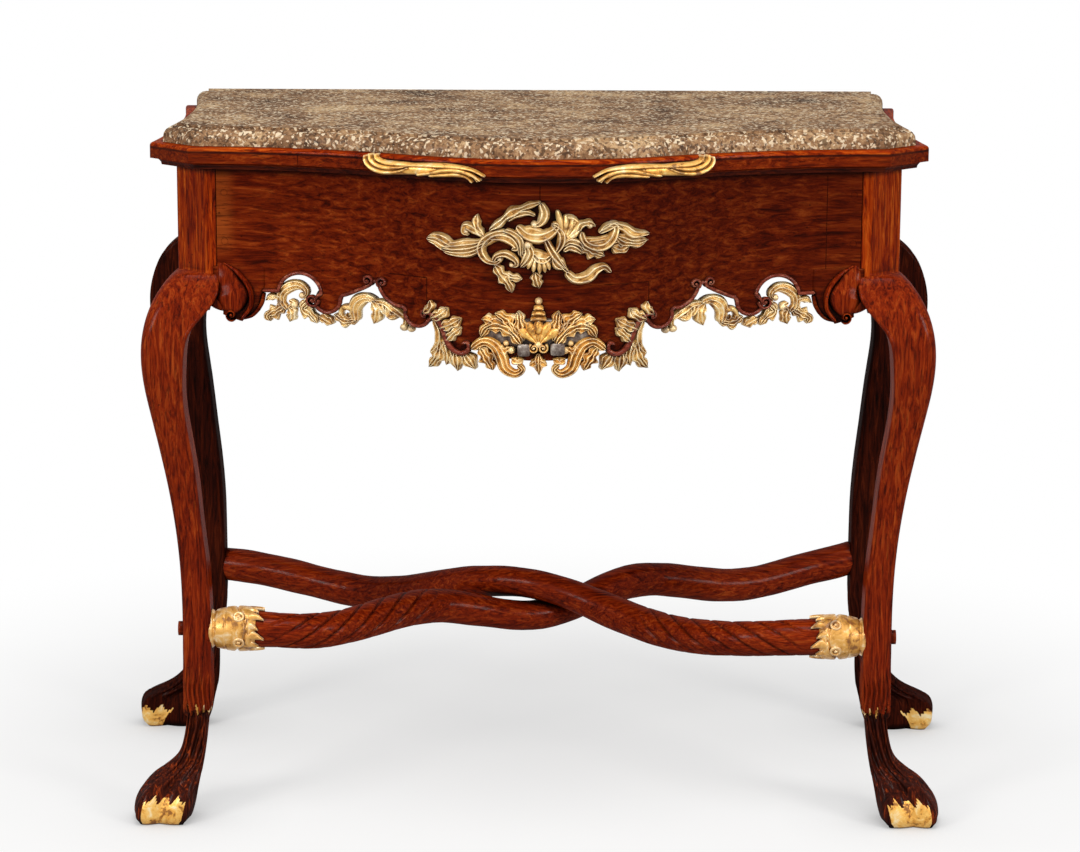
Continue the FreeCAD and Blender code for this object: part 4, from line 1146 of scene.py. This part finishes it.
def carved_depth(share, level):
    """How far the hair, the ragged tufts and the paw are cut into the plain leg, as a minus value."""
    hair = fade(level, HAIR_TOP, TUFT_LEVEL + 0.02) * fade(level, TUFT_LEVEL - 0.012, TUFT_LEVEL)
    depth = -STRAND_DEPTH * hair * ripple(1, FLUTES * 1.6 * share + 0.35 * math.sin(level * 90))
    edge = tuft_edge(share)
    under = (1 - fade(level, edge - 0.003, edge)) * fade(level, PAW_LEVEL - 0.02, TUFT_LEVEL)
    depth -= TUFT_DEPTH * under
    paw = fade(level, TOE_LEVEL - 0.018, TOE_LEVEL + 0.02) * (1 - fade(level, PAW_TOP, TUFT_LEVEL))
    depth -= FLUTE_DEPTH * ripple(FLUTES, share) * paw
    toes = abs(math.sin(math.pi * FLUTES / 2.5 * share))
    depth -= TOE_DEPTH * (1 - toes) * (1 - fade(level, TOE_LEVEL, TOE_LEVEL + 0.016))
    return depth - SOLE_DEPTH * (1 - fade(level, 0.0, SOLE_LEVEL))


def is_gilt(spot, level, round_share, across, outward, front_leg):
    """Whether gilding lies on a spot of a leg: on the paw's front, and in chips along the tufts."""
    edge = (GILT_LEVEL if front_leg else REAR_GILT_LEVEL) - GILT_RAGGED * wave(5, across)
    inside = 0.17 < across < 0.83 if front_leg else across < 0.3 + 0.2 * level / REAR_GILT_LEVEL
    leaf = outward.y < -0.55 and level < edge and inside
    near_tufts = abs(level - tuft_edge(round_share)) < CHIP_REACH
    return leaf or (near_tufts and noise.noise(spot.to_3d() * CHIP_SCALE) > CHIP_FROM)


def leg(name, material, front_leg):
    """Leg with its post, softened knee, beaded inner edge, hairy shank and paw."""
    side = -1 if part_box(name)[0].x < 0 else 1
    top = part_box(name)[1].z
    count = int(top / LEG_STEP)
    levels = [max(top * step / count, FLOOR_GAP) for step in range(count)] + [top - TOP_GAP]
    if front_leg:
        knee = [KNEE_TOP - KNEE_GAP, KNEE_TOP + KNEE_GAP]
        levels = sorted([z for z in levels if abs(z - KNEE_TOP) > 0.002] + knee)
    clay = Clay()
    rows, gilding, bead_line = [], [], []
    for level, (low, high) in zip(levels, slices(name, "Z", levels)):
        if side > 0:
            low, high = Vector((-high.x, low.y, low.z)), Vector((-low.x, high.y, high.z))
        line = even_steps(outline(low, high, level, front_leg), LEG_SIDES)[:-1]
        middle = (low + high) / 2
        if HAIR_TOP < level < KNEE_TOP - 0.01:
            bead_line.append(Vector(((high.x - BEAD_RADIUS) * -side, low.y + BEAD_RADIUS * 0.6, level)))
        row = []
        for place, (spot, way) in enumerate(zip(line, directions(line))):
            outward = Vector((way.y, -way.x))
            if outward.dot(spot - middle.xy) < 0:
                outward = -outward
            round_share = place / LEG_SIDES
            across = (spot.x - low.x) / (high.x - low.x)
            gilding.append(1.0 if is_gilt(spot, level, round_share, across, outward, front_leg) else 0.0)
            spot = spot + outward * carved_depth(round_share, level)
            row.append(Vector((spot.x * -side, spot.y, level)))
        rows.append(row)
    start = clay.rows(rows)
    clay.gilt = {start + place: amount for place, amount in enumerate(gilding)}
    if front_leg:
        swept(clay, smooth_space(bead_line, 160), lambda spot, angle: BEAD_RADIUS, 14)
    clay.piece(name + "_carved", material, [name])


# Ears beside the knees, in millimetres like the carving: the ground and its edge, then the leaf,
# the ridge round it, the filling towards the knee and the volute
EAR_GROUND = [(-344, 664), (-344, 644), (-346, 622), (-352, 604)]
EAR_GROUND_TAPER = (1.0, 1.0, 0.95, 0.4)
EAR_GROUND_RISE = (0.3, 0.6, 1.5, 2.0)
EAR_GROUND_THICK = 22.0
EAR_EDGE = [(-343, 603), (-329, 608), (-319, 620), (-315, 634)]
EAR_LEAF = [(-364, 668), (-358, 650), (-352, 632), (-350, 610)]
EAR_LEAF_TAPER = (0.25, 0.6, 0.95, 0.8)
EAR_LEAF_RISE = (0.1, 0.7, 1.2, 1.3)
EAR_RIDGE = [(-362, 668), (-345, 657), (-331, 638), (-330, 619), (-340, 605)]
EAR_RIDGE_TAPER = (0.4, 1.0, 1.0, 0.9)
EAR_RIDGE_RISE = (0.3, 0.8, 1.2, 1.4)
KNEE_FILL = [(-382, 634), (-371, 624), (-356, 616)]
EAR_VOLUTE = ((-352, 609), 7, -60, -1.2, 4, 15)


def ear(side, mirror):
    """Scrolled ear between a knee and the apron."""
    carver = Carver(mirror=mirror)
    looks = {"taper": EAR_GROUND_TAPER, "rise": EAR_GROUND_RISE, "thick": EAR_GROUND_THICK}
    carver.stroke(EAR_GROUND, 60, 2, soft_ends=False, **looks)
    carver.stroke(EAR_EDGE, 5, 5, taper=(0.8, 1.0, 1.0, 0.8))
    carver.clay.piece(f"front_{side}_ear_ground", WOOD_X)
    carver = Carver(mirror=mirror)
    carver.stroke(KNEE_FILL, 18, 6, taper=(0.8, 1.0, 0.8))
    carver.stroke(EAR_LEAF, 48, 8, taper=EAR_LEAF_TAPER, rise=EAR_LEAF_RISE, thick=8.0)
    carver.stroke(EAR_RIDGE, 6, 9, taper=EAR_RIDGE_TAPER, rise=EAR_RIDGE_RISE)
    carver.scroll(*EAR_VOLUTE)
    node = f"front_{side}_ear"
    carver.clay.piece(node + "_carved", EAR_WOOD, [node])


for side_name, side_mirror in (("left", 1), ("right", -1)):
    leg(f"front_{side_name}_leg", LEG_WOOD, True)
    leg(f"rear_{side_name}_leg", REAR_WOOD, False)
    ear(side_name, side_mirror)


# Stretcher rails: their girth, how their twisted grooves lie, and their tenons
RAIL_RADIUS = 0.021
RAIL_WAIST = 0.0185
WAIST_FROM, WAIST_TO = 0.03, 0.11
RAIL_SIDES = 120
RAIL_PLACES = 60
RAIL_POINTS = 460
GROOVE_DEPTH = 0.0034
GROOVE_PITCH = 0.15
GROOVE_STARTS = 6
GROOVE_SHARP = 6
GROOVES_FROM, GROOVES_TO, GROOVE_RUN = 0.11, 0.33, 0.05
LUMP_SCALE, LUMP_HEIGHT = 30.0, 0.0008
REAR_TENON = 0.022
TENON_RADIUS = 0.0085
TENON_LENGTH = 0.02
MASK_HOLD = 0.03
END_GAP = 0.0005
# Gilt masks at the rails' front ends: rings, collar, seams, brow, flame tufts and eyes
MASK_SIDES = 72
MASK_RINGS = 70
MASK_TUFTS = 12
COLLAR_END = 0.09
# Rings cut into the head: share of the length, width and depth
MASK_SEAMS = ((0.105, 0.016, 0.0016), (0.3, 0.012, 0.0009))
BROW_TURN = math.radians(12)
BROW_WIDTH, BROW_DEPTH = 0.024, 0.003
NECK_FROM, NECK_TO = 0.72, 0.95
FLAME_START = 0.64
FLAME_STEPS = 14
FLAME_COLUMNS = 8
FLAME_WIDTH = 0.36
FLAME_RISE = 0.0042
FLAME_REACH, FLAME_BACK = 0.82, 0.7
FLAME_LEAN = 0.22
EYE_TURNS = (math.radians(46), math.radians(-24))
EYE_SHARE = 0.55
EYE_SUNK = 0.985
EYE_RADIUS = 0.0052
EYE_RIM = 0.0018
EYE_BALL = 0.0024
EYE_POINTS = 24
RIM_POINTS = 10


def around(x, middle, size, angle):
    """Point round a line across the table; the angle is 0 at the front and grows upwards."""
    return Vector((x, middle.y - size * math.cos(angle), middle.z + size * math.sin(angle)))


def even_angles(count):
    """Even angles of a full turn."""
    return [math.tau * place / count for place in range(count)]


def rail(side, way):
    """Twisted stretcher rail on the line of its solid, with its tenon ends."""
    name = f"{side}_stretcher"
    low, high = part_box(name)
    mask_low, mask_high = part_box(f"{side}_mask")
    start = mask_high.x if way > 0 else mask_low.x
    end = (high.x if way > 0 else low.x) - way * REAR_TENON
    places = [start + (end - start) * step / RAIL_PLACES for step in range(RAIL_PLACES + 1)]
    places[0] += way * END_GAP
    places[-1] -= way * END_GAP
    boxes = slices(name, "X", places)
    axis = [Vector((place, (a.y + b.y) / 2, (a.z + b.z) / 2)) for place, (a, b) in zip(places, boxes)]
    path = smooth_space([axis[0] - Vector((way * MASK_HOLD, 0, 0)), *axis], RAIL_POINTS)

    def radius_at(spot, angle):
        thin = 1 - fade(abs(spot.x), WAIST_FROM, WAIST_TO)
        radius = RAIL_RADIUS + (RAIL_WAIST - RAIL_RADIUS) * thin
        here = -way * spot.x
        window = fade(here, GROOVES_FROM, GROOVES_FROM + GROOVE_RUN)
        window *= 1 - fade(here, GROOVES_TO - GROOVE_RUN, GROOVES_TO)
        twist = math.cos(GROOVE_STARTS * (angle - math.tau * spot.x / GROOVE_PITCH))
        groove = max(0.0, twist) ** GROOVE_SHARP
        return radius + noise.noise(spot * LUMP_SCALE) * LUMP_HEIGHT - window * GROOVE_DEPTH * groove

    clay = Clay()
    swept(clay, path, radius_at, RAIL_SIDES)
    outside = low.x if way > 0 else high.x
    tenon = [Vector((outside + way * inside, *axis[0].yz)) for inside in (TENON_LENGTH, 0.0)]
    swept(clay, even_steps(tenon, 8), lambda spot, angle: TENON_RADIUS, 20)
    clay.piece(name + "_carved", RAIL_WOOD, [name])


def flame(clay, root, long, middle, radius, turn, end):
    """One flame-shaped tuft of the mask's collar, lying on the rail."""
    rows = []
    for step in range(FLAME_STEPS + 1):
        share = step / FLAME_STEPS
        x = root + long * (FLAME_START + (end - FLAME_START) * share)
        lean = turn + FLAME_LEAN * math.sin(math.pi * share)
        reach = radius * (FLAME_REACH + 0.05 * math.sin(2.6 * share))
        half = FLAME_WIDTH * max(1 - share, 0.02) ** 0.6
        rise = FLAME_RISE * (1 - 0.55 * share) * fade(share, -0.3, 0.3)
        row = []
        for column in range(FLAME_COLUMNS + 1):
            across = 2 * column / FLAME_COLUMNS - 1
            row.append(around(x, middle, reach + rise * (1 - across * across), lean + half * across))
        row.append(around(x, middle, radius * FLAME_BACK, lean))
        rows.append(row)
    clay.rows(rows)


def mask_girth(radius, share, angle):
    """Radius of a mask at a share of its length."""
    if share < COLLAR_END:
        size = radius * (0.77 + 0.07 * math.sin(math.pi * share / COLLAR_END))
    else:
        size = radius * (0.74 + 0.26 * math.sin(math.pi * share / 1.1))
    for place, width, depth in MASK_SEAMS:
        size -= depth * bell(share, place, width)
    crease = 0.7 - 0.2 * math.sin(angle - BROW_TURN) ** 2
    size -= BROW_DEPTH * bell(share, crease, BROW_WIDTH)
    return size + (RAIL_WAIST - size) * fade(share, NECK_FROM, NECK_TO)


def mask(side, way):
    """Gilt creature's head that holds the rail's end in its collar, with eyes, brow and flame tufts."""
    node = f"{side}_mask"
    low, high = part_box(node)
    middle = (low + high) / 2
    long = way * (high.x - low.x)
    radius = (high.z - low.z) / 2
    root = low.x if way > 0 else high.x
    clay = Clay()
    rows = []
    for step in range(MASK_RINGS + 1):
        share = step / MASK_RINGS
        x = root + long * share
        angles = even_angles(MASK_SIDES)
        rows.append([around(x, middle, mask_girth(radius, share, a), a) for a in angles])
    clay.rows(rows)
    for place in range(MASK_TUFTS):
        turn = math.tau * (place + 0.35) / MASK_TUFTS
        flame(clay, root, long, middle, radius, turn, 1.0 if place % 2 else 0.9)
    for turn in EYE_TURNS:
        outward = Vector((0, -math.cos(turn), math.sin(turn)))
        along = Vector((way, 0, 0))
        aside = outward.cross(along)
        spot = around(root + long * EYE_SHARE, middle, radius * EYE_SUNK, turn)
        rows = []
        for angle in even_angles(EYE_POINTS):
            away = along * math.cos(angle) + aside * math.sin(angle)
            rim = [away * math.cos(a) + outward * math.sin(a) for a in even_angles(RIM_POINTS)]
            rows.append([spot + EYE_RADIUS * away + EYE_RIM * point for point in rim])
        clay.rows(rows + rows[:1], ends=False)
        clay.ball(spot, along * EYE_BALL, aside * EYE_BALL, outward * EYE_BALL)
    clay.piece(node + "_carved", MASK_GILT, [node], slot="giltwood")


for side_name, inward in (("left", 1), ("right", -1)):
    rail(side_name, inward)
    mask(side_name, inward)


# Finishes of the CAD nodes: the first row with a word that is in the node's name counts
NODE_FINISHES = (
    (("marble_slab",), MARBLE),
    (("cartouche", "shell", "leaf", "clasp", "mask"), GILT),
    (("block", "bearer", "back_frieze"), BARE_WOOD),
    (("frame_left_rail", "frame_right_rail"), FRAME_WOOD_Y),
    (("frame",), FRAME_WOOD_X),
    (("left_frieze", "right_frieze", "side"), WOOD_Y),
    (("rear",), REAR_WOOD),
    (("leg", "ear"), WOOD_Z),
    (("stretcher",), RAIL_WOOD),
    (("",), WOOD_X),
)
EDGE_WEAR = 0.0008
EDGE_ANGLE = math.radians(40)


def finish_nodes():
    """Gives the CAD nodes their finish and soft edges."""
    for name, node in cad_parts.items():
        finish = next(finish for words, finish in NODE_FINISHES if any(word in name for word in words))
        node.data.materials.clear()
        node.data.materials.append(finish)
        soft = node.modifiers.new("worn_edges", "BEVEL")
        soft.width = EDGE_WEAR
        soft.segments = 2
        soft.limit_method = "ANGLE"
        soft.angle_limit = EDGE_ANGLE


# Studio: the paper floor's half width, its whites, how much of the white is its own light under the
# table, how much of that light the table receives, and how far the contact shadows reach
FLOOR_HALF = 8.0
PAPER_STOPS = (0.3, 0.7)
PAPER_WHITES = ((0.9, 0.9, 0.9, 1), (0.93, 0.93, 0.93, 1))
PAPER_GLOW = 0.66
GLOW_FROM, GLOW_FULL = 0.5, 1.25
BOUNCE = 0.15
AMBIENT = 0.16
CONTACT_REACH = 0.12
CONTACT_STOPS = (0.45, 0.98)
CONTACT_SHADES = ((0.6, 0.6, 0.6, 1), (1, 1, 1, 1))
# Lamps as place, width, power and tint, all turned to the table's middle
TABLE_MIDDLE = (0.0, 0.0, 0.45)
WARM_LIGHT = (1.0, 0.97, 0.93)
LAMPS = {
    "key_left": ((-2.5, -2.7, 1.8), 1.0, 65.0, WARM_LIGHT),
    "key_right": ((2.7, -2.5, 1.7), 1.0, 61.0, WARM_LIGHT),
    "top": ((0.0, -1.4, 4.6), 2.0, 100.0, (1.0, 1.0, 1.0)),
}


def lamp(name, place, width, power, tint):
    """Soft square lamp that looks at the table."""
    data = bpy.data.lights.new(name, "AREA")
    data.shape = "SQUARE"
    data.size = width
    data.energy = power
    data.color = tint
    made = in_scene(name, data)
    made.location = place
    made.rotation_euler = (Vector(TABLE_MIDDLE) - Vector(place)).to_track_quat("-Z", "Y").to_euler()


def white_when_seen(graph, otherwise):
    """Strength of 1 for the camera, mirrors and glass, and another for all other light."""
    paths = graph.add("ShaderNodeLightPath").outputs
    seen = graph.sum("MAXIMUM", paths["Is Camera Ray"], paths["Is Glossy Ray"])
    seen = graph.sum("MAXIMUM", seen, paths["Is Transmission Ray"])
    return graph.steps(seen, 0.0, 1.0, otherwise, 1.0)


def white_floor():
    """Pale floor under the table, wide enough to fill the picture."""
    mesh = bpy.data.meshes.new("studio_floor")
    corners = [(x * FLOOR_HALF, y * FLOOR_HALF, 0) for x, y in ((-1, -1), (1, -1), (1, 1), (-1, 1))]
    mesh.from_pydata(corners, [], [(0, 1, 2, 3)])
    floor = in_scene("studio_floor", mesh)
    graph = Graph(bpy.data.materials.new("studio_paper"))
    shade = graph.ramp(graph.noise(graph.place, 3.0, 3.0), PAPER_STOPS, PAPER_WHITES)
    paper = graph.shader(shade, 0.85, graph.bump(graph.noise(graph.place, 300.0), 0.02, 0.001))
    contact = graph.ramp(graph.hollows(CONTACT_REACH), CONTACT_STOPS, CONTACT_SHADES)
    values = {"Color": contact, "Strength": white_when_seen(graph, BOUNCE)}
    glow = graph.fed("ShaderNodeEmission", values)
    away = graph.fed("ShaderNodeVectorMath", {0: graph.place}, operation="LENGTH").outputs["Value"]
    share = graph.steps(away, GLOW_FROM, GLOW_FULL, PAPER_GLOW, 1.0)
    both = graph.fed("ShaderNodeMixShader", {0: share, 1: paper, 2: glow.outputs["Emission"]})
    mesh.materials.append(graph.done(both.outputs["Shader"]))


def white_world():
    """White to the camera, and an even soft light for everything else."""
    scene.world = bpy.data.worlds.new("studio")
    graph = Graph(scene.world)
    values = {"Color": (1.0, 1.0, 1.0, 1.0), "Strength": white_when_seen(graph, AMBIENT)}
    back = graph.fed("ShaderNodeBackground", values)
    graph.done(back.outputs["Background"], "World")


def take_camera():
    """Camera of the photograph."""
    data = bpy.data.cameras.new("camera")
    data.lens = CAMERA_LENS
    data.sensor_width = CAMERA_SENSOR
    camera = in_scene("camera", data)
    camera.location = CAMERA_PLACE
    upright = Euler((math.pi / 2 - CAMERA_PITCH, 0.0, 0.0)).to_matrix()
    camera.rotation_euler = (upright @ Euler((0.0, 0.0, CAMERA_ROLL)).to_matrix()).to_euler()
    scene.camera = camera


finish_nodes()
scene.view_settings.view_transform = "Standard"
white_floor()
white_world()
for lamp_name, settings in LAMPS.items():
    lamp(lamp_name, *settings)
take_camera()
